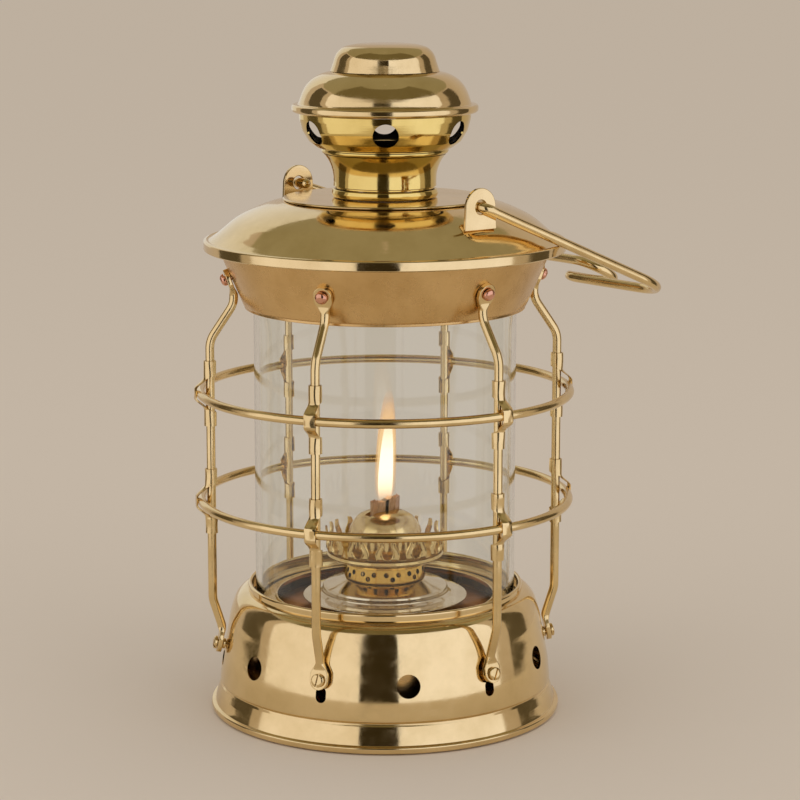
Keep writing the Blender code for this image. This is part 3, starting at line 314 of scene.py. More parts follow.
def polish_group():
    """Polished metal: cloudy tarnish, smears that dull it, lathe rings about Z and slight waviness.

    Rings: noise of the distance from the Z axis and of the height, so they run round every spun form.
    """
    group = bpy.data.node_groups.new("polish", "ShaderNodeTree")
    for name, kind, value in (
            ("Vector", "Vector", (0, 0, 0)), ("Clean Color", "Color", (1, 1, 1, 1)),
            ("Tarnish Color", "Color", (1, 1, 1, 1)), ("Tarnish", "Float", 0.5),
            ("Clean Roughness", "Float", 0.1), ("Dull Roughness", "Float", 0.3),
            ("Ring Height", "Float", 0.1), ("Wave Height", "Float", 0.5), ("Wave Scale", "Float", 30)):
        socket = group.interface.new_socket(name, in_out="INPUT", socket_type="NodeSocket" + kind)
        socket.default_value = value
    for name, kind in (("Color", "Color"), ("Roughness", "Float"), ("Height", "Float")):
        group.interface.new_socket(name, in_out="OUTPUT", socket_type="NodeSocket" + kind)
    given = group.nodes.new("NodeGroupInput").outputs
    place = given["Vector"]
    cloud = add_node(group, "TexNoise", {"Vector": place, "Scale": 42, "Detail": 5, "Roughness": 0.6})
    clouded = add_node(group, "MapRange", {"Value": cloud.outputs["Fac"], "From Min": 0.4, "From Max": 0.78,
                                           "To Max": given["Tarnish"]})
    color = add_node(group, "Mix", {"Factor": clouded.outputs["Result"], 6: given["Clean Color"],
                                    7: given["Tarnish Color"]}, data_type="RGBA")
    smear = add_node(group, "TexNoise", {"Vector": place, "Scale": 95, "Detail": 6, "Roughness": 0.7,
                                         "Distortion": 0.6})
    smeared = add_node(group, "MapRange", {
        "Value": smear.outputs["Fac"], "From Min": 0.42, "From Max": 0.72,
        "To Min": given["Clean Roughness"], "To Max": given["Dull Roughness"]})
    parts = add_node(group, "SeparateXYZ", {"Vector": place})
    flat = add_node(group, "CombineXYZ", {"X": parts.outputs["X"], "Y": parts.outputs["Y"]})
    reach = add_node(group, "VectorMath", {0: flat.outputs["Vector"]}, operation="LENGTH")
    ring_place = add_node(group, "CombineXYZ", {"X": reach.outputs["Value"], "Y": parts.outputs["Z"]})
    ring = add_node(group, "TexNoise", {"Vector": ring_place.outputs["Vector"], "Scale": 1500, "Detail": 2,
                                        "Roughness": 0.6})
    wave = add_node(group, "TexNoise", {"Vector": place, "Scale": given["Wave Scale"], "Detail": 1})
    rings = add_node(group, "Math", {0: ring.outputs["Fac"], 1: given["Ring Height"]}, operation="MULTIPLY")
    waves = add_node(group, "Math", {0: wave.outputs["Fac"], 1: given["Wave Height"],
                                     2: rings.outputs["Value"]}, operation="MULTIPLY_ADD")
    set_inputs(group, group.nodes.new("NodeGroupOutput"), {
        "Color": color.outputs[2], "Roughness": smeared.outputs["Result"], "Height": waves.outputs["Value"]})
    return group


polish = polish_group()


def polished_metal(name, clean, tarnished, tarnish=0.6, roughness=(0.07, 0.2), rings=0.05, waves=1.0,
                   wave_scale=24.0):
    """A metal finish from the polish group, with its bump 0.1 mm deep at a height of 1."""
    paint, tree = new_paint(name)
    place = add_node(tree, "TexCoord")
    worn = add_node(tree, "Group", {
        "Vector": place.outputs["Object"], "Clean Color": (*clean, 1), "Tarnish Color": (*tarnished, 1),
        "Tarnish": tarnish, "Clean Roughness": roughness[0], "Dull Roughness": roughness[1],
        "Ring Height": rings, "Wave Height": waves, "Wave Scale": wave_scale}, node_tree=polish)
    bump = add_node(tree, "Bump", {"Height": worn.outputs["Height"], "Distance": 0.1 * mm})
    shade(tree, {"Metallic": 1, "Base Color": worn.outputs["Color"], "Roughness": worn.outputs["Roughness"],
                 "Normal": bump.outputs["Normal"]})
    return paint


sheet_brass = polished_metal("spun_brass", (0.85, 0.66, 0.35), (0.60, 0.43, 0.18))

wall_start, wall_end = (74.9, 23.3), (71.8, 39.0)
drum_outline = [
    (77.2, 0, 0.3), (80.0, 0, 1.5), (80.0, 3.2, 1.5), (78.3, 3.3, 0.5), (76.9, 8.0, 14), (75.8, 11.3, 0.5),
    (75.1, 12.4, 0.5), (75.8, 13.5, 0.6), (*wall_start, 60),
    *curved([wall_end, (71.0, 43.5), (69.8, 47.8), (68.4, 51.2), (66.3, 53.6), (64.3, 54.7), (62.7, 55.0)])]
lip_outline = [
    (62.7, 58.2, 0.9), (60.8, 58.2, 0.9), (60.8, 50.5, 0.6), (58.9, 50.5, 0.2), (58.9, 49.7, 0.2),
    (61.5, 49.7, 0.4)]
wall_slope = math.atan2(wall_start[0] - wall_end[0], wall_end[1] - wall_start[1])
wall_out = Vector((math.cos(wall_slope), 0, math.sin(wall_slope)))


def wall_point(height, outward=0.0):
    """A point at azimuth 0 on the drum's conical wall, moved outward along its normal."""
    radius = (wall_start[0] + wall_start[1] * math.tan(wall_slope)) * mm - height * math.tan(wall_slope)
    return Vector((radius, 0, height)) + wall_out * outward


air_hole_height, air_hole_radius = 28.8 * mm, 5.25 * mm
slot_half_width, slot_low, slot_high = 2.4 * mm, 22.8 * mm, 25.0 * mm
turn = np.linspace(0, math.pi, 17)
slot_side = np.r_[np.cos(turn), -np.cos(turn)] * slot_half_width
slot_up = np.r_[slot_high + np.sin(turn) * slot_half_width, slot_low - np.sin(turn) * slot_half_width]
slot_outline = np.column_stack([0 * slot_side + 68 * mm, slot_side, slot_up])
drum_tools = turned_copies(bore(wall_point(air_hole_height), wall_out, 6 * mm, air_hole_radius),
                           first=rod_step / 2)
drum_tools += turned_copies(prism(slot_outline.tolist(), (12 * mm, 0, 0)))
drum_mesh = spun(drum_outline, wall=sheet_wall, bridge=lip_outline)
add_piece("drum_shell", cut(drum_mesh, drum_tools), sheet_brass, "lamp", "drum")


# Glass seat: a flat brass ring with a rolled inner edge, dropped into the drum's neck. The chimney
# stands on it.
seat_mesh = spun([(49.4, 53.0, 0.3), (49.4, 50.8, 0.8), (60.4, 50.8, 0.1), (60.4, 51.6, 0.1),
                  (50.2, 51.6, 0.4), (50.2, 53.0, 0.3)])
add_piece("seat_ring", seat_mesh, sheet_brass, "lamp", "glass_seat")


# Chimney: a straight tube of clear glass with fire-polished ends, held only by its seat and by the
# ring under the roof.
glass_low, glass_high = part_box("glass_chimney")
glass_wall, glass_edge = 2.4 * mm, 1.1 * mm
glass_outline = [(glass_high.x - inward, height, glass_edge) for inward, height in (
    (glass_wall, glass_low.z), (0, glass_low.z), (0, glass_high.z), (glass_wall, glass_high.z))]
clear_glass, tree = new_paint("chimney_glass")
place = add_node(tree, "TexCoord").outputs["Object"]
dust = add_node(tree, "TexNoise", {"Vector": place, "Scale": 260, "Detail": 6, "Roughness": 0.75})
haze = add_node(tree, "MapRange", {"Value": dust.outputs["Fac"], "From Min": 0.55, "From Max": 0.8,
                                   "To Min": 0.0, "To Max": 0.06})
drawn_place = add_node(tree, "Mapping", {"Vector": place, "Scale": (60, 60, 3)})
drawn = add_node(tree, "TexNoise", {"Vector": drawn_place.outputs["Vector"], "Scale": 1})
bump = add_node(tree, "Bump", {"Height": drawn.outputs["Fac"], "Distance": 0.06 * mm})
shade(tree, {"Base Color": (0.97, 0.99, 0.985, 1), "Transmission Weight": 1, "IOR": 1.47,
             "Roughness": haze.outputs["Result"], "Normal": bump.outputs["Normal"]})
add_piece("chimney_tube", turned(rounded(glass_outline, closed=True)), clear_glass, "lamp", "glass_chimney",
          slot="clear_glass")


# Chimney ring: a flat ring soldered inside the skirt, with a turned-down edge that keeps the glass
# upright.
def foot_of(node):
    """The height of a node's lowest point."""
    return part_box(node)[0].z


ring_outline = [(56.8, 7.0, 0.1), (59.5, 7.0, 0.2), (59.5, 0, 0.2), (60.3, 0, 0.2), (60.3, 7.0, 0.5),
                (66.8, 7.0, 0.1), (66.8, 7.8, 0.1), (56.8, 7.8, 0.1)]
add_piece("chimney_ring", spun(ring_outline, foot_of("chimney_holder")), sheet_brass, "lamp",
          "chimney_holder")


# Skirt: the plain cone under the roof, duller than the rest. Its top edge is turned out inside the
# roof's rim and soldered there, and the rods are riveted to it.
skirt_foot = foot_of("skirt")
skirt_low_radius, skirt_top_radius, skirt_height = 62.8, 74.5, 26
skirt_slope = math.atan2(skirt_top_radius - skirt_low_radius, skirt_height)
skirt_out = Vector((math.cos(skirt_slope), 0, -math.sin(skirt_slope)))
rivet_height = skirt_foot + 14.5 * mm
rivet_bore = 1.8 * mm


def skirt_point(height, outward=0.0):
    """A point at azimuth 0 on the skirt's outside, moved outward along its normal."""
    radius = skirt_low_radius * mm + (height - skirt_foot) * math.tan(skirt_slope)
    return Vector((radius, 0, height)) + skirt_out * outward


skirt_outline = [(skirt_low_radius + 0.35, 0, 0.2), (skirt_low_radius + 0.5, 1.3, 0.5),
                 (skirt_low_radius + 0.95, 1.6, 0.4), (skirt_top_radius, skirt_height, 0.8),
                 (79.8, skirt_height + 0.05, 0)]
satin_brass = polished_metal("satin_brass", (0.77, 0.52, 0.23), (0.55, 0.34, 0.12), tarnish=0.8,
                             roughness=(0.2, 0.36), rings=0.12, waves=2.0, wave_scale=34)
rivet_bores = turned_copies(bore(skirt_point(rivet_height), skirt_out, 4 * mm, rivet_bore, sides=32))
add_piece("skirt_cone", cut(spun(skirt_outline, skirt_foot, sheet_wall), rivet_bores), satin_brass, "lamp",
          "skirt")


# Roof: a spun brass dome with a short upright rim and a fine groove above it, open in the middle for
# the hot air. Its inside is left unpolished, and the vent's is sooty.
def second_finish(piece, paint, chosen):
    """Give a piece's chosen faces another finish. chosen takes the faces' radius, height, and the
    outward and upward parts of their normals."""
    faces = piece.data.polygons
    middles, ways = np.empty(3 * len(faces)), np.empty(3 * len(faces))
    faces.foreach_get("center", middles)
    faces.foreach_get("normal", ways)
    middles, ways = middles.reshape(-1, 3), ways.reshape(-1, 3)
    radius = np.linalg.norm(middles[:, :2], axis=1)
    outward = (middles[:, :2] * ways[:, :2]).sum(axis=1) / np.maximum(radius, 1e-9)
    second = chosen(radius, middles[:, 2], outward, ways[:, 2])
    piece.data.materials.append(paint)
    faces.foreach_set("material_index", second.astype(np.int32))


roof_foot = foot_of("roof")
roof_radius, rim_top, satin_reach = 81.3, 4.4, 72 * mm
roof_outline = [
    (80.7, 0, 0.2), (roof_radius, 0.5, 0.4), (roof_radius, rim_top, 0.9), (79.9, 4.8, 0.5), (79.1, 4.4, 0.5),
    *curved([(77.9, 5.0), (75.3, 6.8), (72.0, 9.6), (66.8, 13.8), (60.5, 17.2), (53.0, 20.1), (45.7, 22.0)]),
    (44.0, 22.0, 1.0), (21.2, 22.0, 0.1)]
roof = add_piece("roof_dome", spun(roof_outline, roof_foot, sheet_wall), sheet_brass, "lamp", "roof")
second_finish(roof, satin_brass,
              lambda radius, height, outward, upward: (upward < -0.3) & (radius < satin_reach))


# Roof flange: a flat disc of brass sheet, spun with a rounded edge and soldered to the top of the
# dome. It carries the vent.
flange_outline = [(21.0, 0, 0.1), (45.3, 0, 0.3), (45.7, 0.5, 0.3), (45.3, 1.0, 0.3), (21.0, 1.0, 0.1)]
add_piece("roof_disc", spun(flange_outline, foot_of("roof_flange")), sheet_brass, "lamp", "roof_flange")


# Vent: a beaded collar, a flared neck above a groove, and a bowl-shaped head with six air holes. All
# are spun brass, pressed into each other and soldered, and the heat has deepened their colour.
deep_brass = polished_metal("heated_brass", (0.82, 0.62, 0.21), (0.62, 0.43, 0.11))
soot = polished_metal("soot", (0.035, 0.026, 0.018), (0.015, 0.012, 0.010), roughness=(0.5, 0.8), rings=0.3,
                      waves=2.0, wave_scale=120)
sooty_radius = 37 * mm


def sooty(radius, height, outward, upward):
    """The faces that look at the axis, and the flat ones near it that look down."""
    return (outward < -0.25) | ((upward < -0.95) & (radius < sooty_radius))


collar_outline = [(21.0, 0, 0.1), (23.3, 0, 0.7), (23.8, 1.8, 0.9), (23.3, 3.6, 0.7), (21.0, 3.6, 0.1)]
add_piece("vent_bead", spun(collar_outline, foot_of("vent_collar")), deep_brass, "lamp", "vent_collar")

neck_outline = [
    (22.2, 0, 0.1), (22.2, 0.8, 0.3),
    *curved([(23.0, 1.0), (23.0, 3.5), (23.2, 6.5), (24.0, 9.6), (25.4, 12.6), (27.3, 15.2)])]
neck_mesh = spun(neck_outline, foot_of("vent_neck"), sheet_wall)
second_finish(add_piece("vent_tube", neck_mesh, deep_brass, "lamp", "vent_neck"), soot, sooty)

head_foot = foot_of("vent_head")
head_outline = [
    (26.1, 0, 0.2), (28.0, 0, 0.9), (28.5, 1.2, 0.9), (28.0, 2.2, 0.5), (30.4, 2.7, 1.2), (33.9, 5.3, 3),
    (36.9, 10.2, 6), (38.2, 15.2, 4), (38.3, 17.7, 0.1)]
head_hole_middle = Vector((36.7 * mm, 0, head_foot + 9.6 * mm))
head_hole_tilt, head_hole_radius = math.radians(32), 5.7 * mm
head_hole_way = Vector((math.cos(head_hole_tilt), 0, -math.sin(head_hole_tilt)))
head_holes = turned_copies(bore(head_hole_middle, head_hole_way, 6 * mm, head_hole_radius),
                           first=math.radians(22.5))
head_mesh = cut(spun(head_outline, head_foot, sheet_wall), head_holes)
second_finish(add_piece("vent_bowl", head_mesh, deep_brass, "lamp", "vent_head"), soot, sooty)


# Cap: a brass dome, spun with a rolled rim that keeps rain out of the vent, and a small closed upper
# stage. Both are soldered on, and the dome is sooty inside.
cap_outline = [
    (37.5, 0, 0.2), (41.6, 0, 1.6), (41.6, 3.6, 1.6), (39.2, 3.7, 0.5),
    *curved([(38.6, 4.0), (38.2, 4.9), (37.5, 7.0), (36.4, 9.7), (34.7, 12.4), (32.0, 15.0), (28.3, 17.0),
             (24.4, 18.0)]),
    (20.0, 18.0, 0.1)]
cap_mesh = spun(cap_outline, foot_of("cap"), sheet_wall)
second_finish(add_piece("cap_dome", cap_mesh, sheet_brass, "lamp", "cap"), soot, sooty)

crown_outline = np.array([
    *curved([(24.3, 0), (23.1, 3.5), (22.0, 6.8), (20.4, 9.1), (17.8, 10.8), (12.2, 11.9), (5.5, 12.18)]),
    (0, 12.2, 0)]) * mm + (0, foot_of("cap_crown"), 0)
crown_line = rounded(walled(crown_outline, sheet_wall), closed=True)[:-1]
add_piece("cap_stage", turned(crown_line), sheet_brass, "lamp", "cap_crown")


# Guard rods: six lengths of hard brass wire, bent clear of the glass. Each end is hammered into a
# flat eyelet, riveted to the skirt above and screwed to the drum below.
wire_radius = 2.0 * mm
eyelet_radius, eyelet_half = 4.2 * mm, 1.1 * mm
cage_radius = 79.2 * mm
lap_gap, foot_stand = 0.3 * mm, 2.8 * mm
screw_height = 30.4 * mm
top_eye = skirt_point(rivet_height, eyelet_half + lap_gap)
foot_eye = wall_point(screw_height, foot_stand)
inner_kink = skirt_point(skirt_foot + 5 * mm, wire_radius + lap_gap)
lower_foot = wall_point(37.5 * mm, foot_stand)
top_tip = top_eye + (top_eye - inner_kink).normalized() * eyelet_radius
foot_tip = foot_eye + (foot_eye - lower_foot).normalized() * eyelet_radius
rod_corners = [(top_tip.x, top_tip.z, 0), (inner_kink.x, inner_kink.z, 10 * mm),
               (cage_radius, skirt_foot - 14 * mm, 12 * mm), (cage_radius, 52 * mm, 12 * mm),
               (lower_foot.x, lower_foot.z, 10 * mm), (foot_tip.x, foot_tip.z, 0)]


def swept(path, across, wide, deep, squareness, sides=40):
    """A bar along a path of points: x and y of its section follow a superellipse.

    side = wide sgn(cos a)|cos a|^(2/squareness), depth = deep sgn(sin a)|sin a|^(2/squareness), set
    along the direction across and along the path's own normal to it.
    """
    along = unit(np.gradient(path, axis=0))
    depth = unit(np.cross(along, np.broadcast_to(across, path.shape)))
    across = unit(np.cross(depth, along))
    turn = (np.arange(sides) + 0.5) * math.tau / sides
    side, rise = (size[:, None] * np.sign(wave) * np.abs(wave) ** (2 / squareness)[:, None]
                  for size, wave in ((wide, np.cos(turn)), (deep, np.sin(turn))))
    return grid_mesh(path[:, None] + across[:, None] * side[..., None] + depth[:, None] * rise[..., None])


def eased(value, low, high):
    """0 below low, 1 above high, and a smooth step between."""
    share = np.clip((value - low) / (high - low), 0, 1)
    return share * share * (3 - 2 * share)


def tipped_path(line, tip, gap, spacing, tip_points):
    """Points along a line and how far each is from the nearer end. The steps are even but for the
    tips, where they shorten as 1 - cos a, so that round ends come out round."""
    length = run_length(line)
    close = tip * (1 - np.cos(np.linspace(0, math.pi / 2, tip_points)))
    places = np.r_[close, np.arange(tip + gap, length[-1] - tip, spacing), length[-1] - close[::-1]]
    return at_places(line, length, places), np.minimum(places, length[-1] - places)


rod_path, from_tip = tipped_path(rounded(rod_corners), eyelet_radius, 0.3 * mm, 0.5 * mm, 16)
rod_path = np.insert(rod_path, 1, 0, axis=1)
eyelet_plan = np.sqrt(np.clip(eyelet_radius ** 2 - (from_tip - eyelet_radius) ** 2, 0, None))
neck_wide = eyelet_radius + (wire_radius - eyelet_radius) * eased(from_tip, 6.5 * mm, 12 * mm)
rod_wide = np.where(from_tip < eyelet_radius, eyelet_plan, neck_wide)
rod_deep = eyelet_half + (wire_radius - eyelet_half) * eased(from_tip, 8.5 * mm, 12.5 * mm)
flat_square, wire_square = 9, 2
rod_square = flat_square + (wire_square - flat_square) * eased(from_tip, 8 * mm, 12.5 * mm)
eye_bores = [bore(eye, way, 3 * mm, rivet_bore, sides=32)
             for eye, way in ((top_eye, skirt_out), (foot_eye, wall_out))]
rod_mesh = cut(swept(rod_path, (0, 1, 0), rod_wide, rod_deep, rod_square), eye_bores)
wire_brass = polished_metal("drawn_brass_wire", (0.83, 0.635, 0.32), (0.58, 0.41, 0.17), tarnish=0.7,
                            roughness=(0.12, 0.28), rings=0, waves=2.5, wave_scale=70)
for number, mesh in enumerate(turned_copies(rod_mesh), 1):
    add_piece(f"bent_rod_{number}", mesh, wire_brass, "lamp", f"guard_rod_{number}")


# Rivets: copper, with round heads outside. They go through eyelet and skirt and are hammered over
# inside.
small_segments = 96
copper = polished_metal("copper", (0.80, 0.42, 0.28), (0.45, 0.20, 0.12), tarnish=0.8, roughness=(0.12, 0.3),
                        rings=0, waves=1.5, wave_scale=160)
rivet_outline = [(0, -1.9, 0), (2.3, -1.9, 0.3), (2.3, -1.1, 0.2), (1.5, -1.1, 0.1), (1.5, 2.8, 0.1),
                 (2.85, 2.8, 0.25), (2.75, 4.1, 1.2), (1.5, 5.0, 1.6), (0, 5.05, 0)]
rivet_mesh = spun(rivet_outline, segments=small_segments, closed=False)
rivet_mesh.transform(Matrix.Translation(skirt_point(rivet_height)) @ facing(skirt_out))
for number, mesh in enumerate(turned_copies(rivet_mesh), 1):
    add_piece(f"copper_rivet_{number}", mesh, copper, "lamp", f"rivet_{number}", slot="copper_rivet")


# Foot screws: slotted cheese-head brass screws. A shoulder under each eyelet stands the rod off the
# drum.
def slot_block(half_x, half_y, foot, tall):
    """A box round the Z axis, for cutting slots."""
    corners = [(half_x * x, half_y * y, foot) for x, y in ((-1, -1), (1, -1), (1, 1), (-1, 1))]
    return prism(corners, (0, 0, tall))


screw_outline = [(0, -3.8, 0), (1.3, -3.8, 0.3), (1.5, -3.3, 0.3), (1.5, 0.3, 0.1), (2.4, 0.3, 0.2),
                 (2.4, 1.4, 0.2), (1.5, 1.4, 0.1), (1.5, 4.2, 0.1), (2.95, 4.2, 0.2), (2.95, 5.3, 0.4),
                 (2.1, 5.75, 2.0), (0, 5.8, 0)]
screw_mesh = cut(spun(screw_outline, segments=small_segments, closed=False),
                 [slot_block(4 * mm, 0.4 * mm, 5.0 * mm, 3 * mm)])
screw_place = Matrix.Translation(wall_point(screw_height)) @ facing(wall_out)
for number, slot_turn in enumerate(np.radians([62, 8, 118, 35, 150, 80]), 1):
    mesh = turned_by(screw_mesh.copy(), slot_turn)
    mesh.transform(screw_place)
    add_piece(f"slotted_screw_{number}", turned_by(mesh, rod_step * (number - 1)), wire_brass, "lamp",
              f"foot_screw_{number}")


# Guard rings: two hoops of brass wire, bent round outside the rods with their ends soldered. The
# clips hold them to the rods.
hoop_radius = 83.5 * mm
hoop_heights = {level: sum(corner.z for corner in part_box("guard_ring_" + level)) / 2
                for level in ("lower", "upper")}
turn = np.arange(40) * math.tau / 40
for level, height in hoop_heights.items():
    hoop_line = np.column_stack([np.cos(turn), np.sin(turn)]) * wire_radius + (hoop_radius, height)
    add_piece(f"wire_hoop_{level}", turned(hoop_line, segments=256), wire_brass, "lamp",
              f"guard_ring_{level}")


# Ring clips: strips of thin brass sheet laid over a ring and wrapped round the rod above and below
# it, then soldered. Each is dented by hand in its own way.
clip_wall, dent_depth, dent_pitch = 0.6 * mm, 0.16 * mm, 1.9 * mm
wrap_radius, saddle_radius = 2.9 * mm, 7 * mm
saddle_half, wrap_half = 2.7 * mm, 7.9 * mm
over_ring = hoop_radius + wire_radius + lap_gap + clip_wall
rise = np.r_[np.linspace(0, 1.2, 5), np.linspace(1.6, 8.8, 28), np.linspace(9.4, 14.8, 9)] * mm
rise = np.r_[-rise[:0:-1], rise]
from_middle = np.abs(rise)
front = over_ring + (cage_radius + wrap_radius - over_ring) * eased(from_middle, 2.2 * mm, 7.4 * mm)
saddle_curve = 1 / saddle_radius
wrap_curve = saddle_curve + (1 / wrap_radius - saddle_curve) * eased(from_middle, 3.0 * mm, 7.8 * mm)
half_strip = saddle_half + (wrap_half - saddle_half) * eased(from_middle, 6.6 * mm, 8.8 * mm)
strip_share = np.linspace(-1, 1, 33)
hand = np.random.default_rng(3)


def strip_side(inward, dents):
    """One side of the wrapped strip: an arc of the local curvature, moved inward along its normal.

    The arc's radius is 1 / curvature, so x = front - radius (1 - cos t) and y = radius sin t, with the
    turn t = curvature times the distance across the strip. Dents are a product of two slow waves.
    """
    radius = (1 / wrap_curve)[:, None]
    bend_turn = wrap_curve[:, None] * half_strip[:, None] * strip_share
    dent = dent_depth * np.sin(rise[:, None] / dent_pitch + dents[0]) * np.sin(3.5 * strip_share + dents[1])
    x = front[:, None] - radius + (radius - inward) * np.cos(bend_turn) + dent
    y = (radius - inward) * np.sin(bend_turn)
    return np.stack([x, y, rise[:, None] + 0 * x], axis=-1)


for level, height in hoop_heights.items():
    for number in range(1, rod_count + 1):
        dents = hand.uniform(0, math.tau, 2)
        outside, inside = strip_side(0, dents), strip_side(clip_wall, dents)
        middle = (outside + inside) / 2
        clip_grid = np.concatenate([outside, inside[:, ::-1]], axis=1)
        ends = np.concatenate([middle, middle[:, ::-1]], axis=1)
        clip_grid = np.concatenate([ends[:1], clip_grid, ends[-1:]]) + (0, 0, height)
        add_piece(f"rod_clip_{level}_{number}", turned_by(grid_mesh(clip_grid), rod_step * (number - 1)),
                  wire_brass, "lamp", f"ring_clip_{level}_{number}")


# Bail ears: two upright tabs of thick brass sheet with round tops, soldered to the roof. A hole in
# each takes an end of the bail.
ear_low, ear_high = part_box("bail_ear_right")
ear_distance, ear_half = (ear_low.x + ear_high.x) / 2, (ear_high.x - ear_low.x) / 2
hinge_height = next(joint["pos_m"][2] for joint in frame["record"]["behaviour"]["joints"]
                    if joint["name"] == "bail_swing")
ear_radius, ear_foot_half, ear_bore = 8.2 * mm, 8.7 * mm, 3.1 * mm
turn = np.linspace(0, math.pi, 41)
ear_outline = np.column_stack([ear_radius * np.cos(turn), hinge_height + ear_radius * np.sin(turn)])
ear_outline = np.vstack([[ear_foot_half, ear_low.z], ear_outline, [-ear_foot_half, ear_low.z]])
ear_outline = np.insert(ear_outline, 0, ear_distance - ear_half, axis=1)
ear_mesh = cut(prism(ear_outline.tolist(), (2 * ear_half, 0, 0)),
               [bore(Vector((ear_distance, 0, hinge_height)), Vector((1, 0, 0)), 3 * mm, ear_bore)])
for side, mesh in zip(("right", "left"), turned_copies(ear_mesh, 2)):
    ear = add_piece(f"bail_tab_{side}", mesh, sheet_brass, "lamp", f"bail_ear_{side}")
    edge = ear.modifiers.new("soft_edge", "BEVEL")
    edge.width, edge.segments, edge.limit_method, edge.angle_limit = 0.35 * mm, 3, "ANGLE", math.radians(50)
    edge.harden_normals = True


# Bail: one length of brass wire, hooked into the ears, with a single turn in the middle to hang it
# by. It rests on the roof's rim.
bail_radius, bail_gap = 2.25 * mm, 0.6 * mm
bail_reach, bail_corner, ear_corner, bail_stub = 124 * mm, 24 * mm, 3.6 * mm, 8 * mm
eye_radius, eye_spread = 10.3 * mm, 4.2 * mm
rest_height = 4 * mm
arm_side = ear_distance + ear_half + bail_gap + bail_radius
rim_touch = math.sqrt((roof_radius * mm) ** 2 - arm_side ** 2)
rim_drop = hinge_height - roof_foot - rest_height
bail_rest = (math.atan2(rim_drop, rim_touch) - math.atan2(eye_spread, bail_reach)
             - math.asin((bail_radius + bail_gap) / math.hypot(rim_touch, rim_drop)))
quarter, share = np.linspace(0, math.pi / 2, 25), np.linspace(0, 1, 97)
half_x = np.r_[ear_distance - ear_half - bail_stub, arm_side - ear_corner * (1 - np.sin(quarter)),
               arm_side - bail_corner * (1 - np.cos(quarter))]
half_reach = np.r_[0, ear_corner * (1 - np.cos(quarter)), bail_reach - bail_corner * (1 - np.sin(quarter))]
half_lift = -eye_spread * half_reach / bail_reach
eye_x = -eye_radius * np.sin(math.tau * share)
eye_reach = bail_reach + eye_radius * (1 - np.cos(math.tau * share))
eye_lift = eye_spread * (2 * share - 1)
bail_line = np.column_stack([
    np.r_[half_x, eye_x, -half_x[::-1]], np.r_[half_reach, eye_reach, half_reach[::-1]],
    np.r_[half_lift, eye_lift, -half_lift[::-1]]])
bail_path, from_tip = tipped_path(bail_line, bail_radius, 1.0 * mm, 1.0 * mm, 10)
bail_thickness = np.sqrt(np.clip(bail_radius ** 2 - np.clip(bail_radius - from_tip, 0, None) ** 2, 0, None))
smooth = np.ones(5) / 5
bail_path[2:-2] = np.column_stack([np.convolve(column, smooth, "valid") for column in bail_path.T])
rest_cos, rest_sin = math.cos(bail_rest), math.sin(bail_rest)
bail_path = bail_path @ np.array([[1, 0, 0], [0, rest_cos, -rest_sin], [0, rest_sin, rest_cos]])
bail_mesh = swept(bail_path + (0, 0, hinge_height), (0, rest_sin, rest_cos), bail_thickness, bail_thickness,
                  wire_square + 0 * bail_thickness, sides=32)
add_piece("bail_wire", bail_mesh, wire_brass, "bail", "bail")


# Bottom plate: a plain brass disc that closes the drum and carries the tank. Its lugs lock on hooks
# inside the drum.
def keep_node(node, paint):
    """Keep a CAD node's own shape, under a finish of the scene's."""
    frame["nodes"][node].material_slots[0].material = paint


keep_node("bottom_plate", satin_brass)


# Oil tank: a closed brass can. Its top is painted dark brown as the shade under the burner, and its neck
# takes the burner.
tank_foot = foot_of("oil_tank")
tank_outline = [(0, 0, 0), (62.0, 0, 2.0), (64.0, 2.0, 2.0), (64.0, 36.5, 3.0), (51.0, 45.1, 4.0),
                (15.6, 45.1, 0.8), (15.6, 56.9, 0.1)]
shaded_top_height = tank_foot + 38 * mm
# Painted shade: a rough dark brown brass for the tank's top, standing in for the shadow under the burner.
shaded_top_paint = polished_metal("brass_painted_shade", (0.56, 0.25, 0.085), (0.28, 0.11, 0.03), tarnish=0.8,
                             roughness=(0.4, 0.62), rings=0.1, waves=1.5)
tank = add_piece("tank_can", spun(tank_outline, tank_foot, sheet_wall), satin_brass, "font", "oil_tank")
second_finish(tank, shaded_top_paint, lambda radius, height, outward, upward: height > shaded_top_height)


# Burner plate: a bright tinned disc with a low hollow cone on it, which covers the tank's neck and
# throws light up.
tinned = polished_metal("bright_tin", (0.82, 0.73, 0.57), (0.60, 0.47, 0.29), tarnish=0.6,
                        roughness=(0.06, 0.2), rings=0.1, waves=1.2)
plate_outline = [
    (37.6, 51.2, 0.3), (37.6, 52.0, 0.3), (30.5, 52.4, 1.5), (28.6, 53.6, 1.2), (28.7, 55.4, 0.5),
    (28.3, 56.4, 0.8), (22.8, 58.0, 40), (18.2, 59.9, 0.3), (13.7, 59.9, 0.1), (13.7, 48.0, 0.1),
    (14.5, 48.0, 0.1), (14.5, 59.1, 0.3), (17.7, 59.1, 0.3), (22.5, 57.2, 40), (27.7, 55.6, 0.2),
    (27.8, 51.4, 0.4)]
add_piece("stepped_plate", spun(plate_outline), tinned, "font", "burner_plate", slot="tinned_plate")


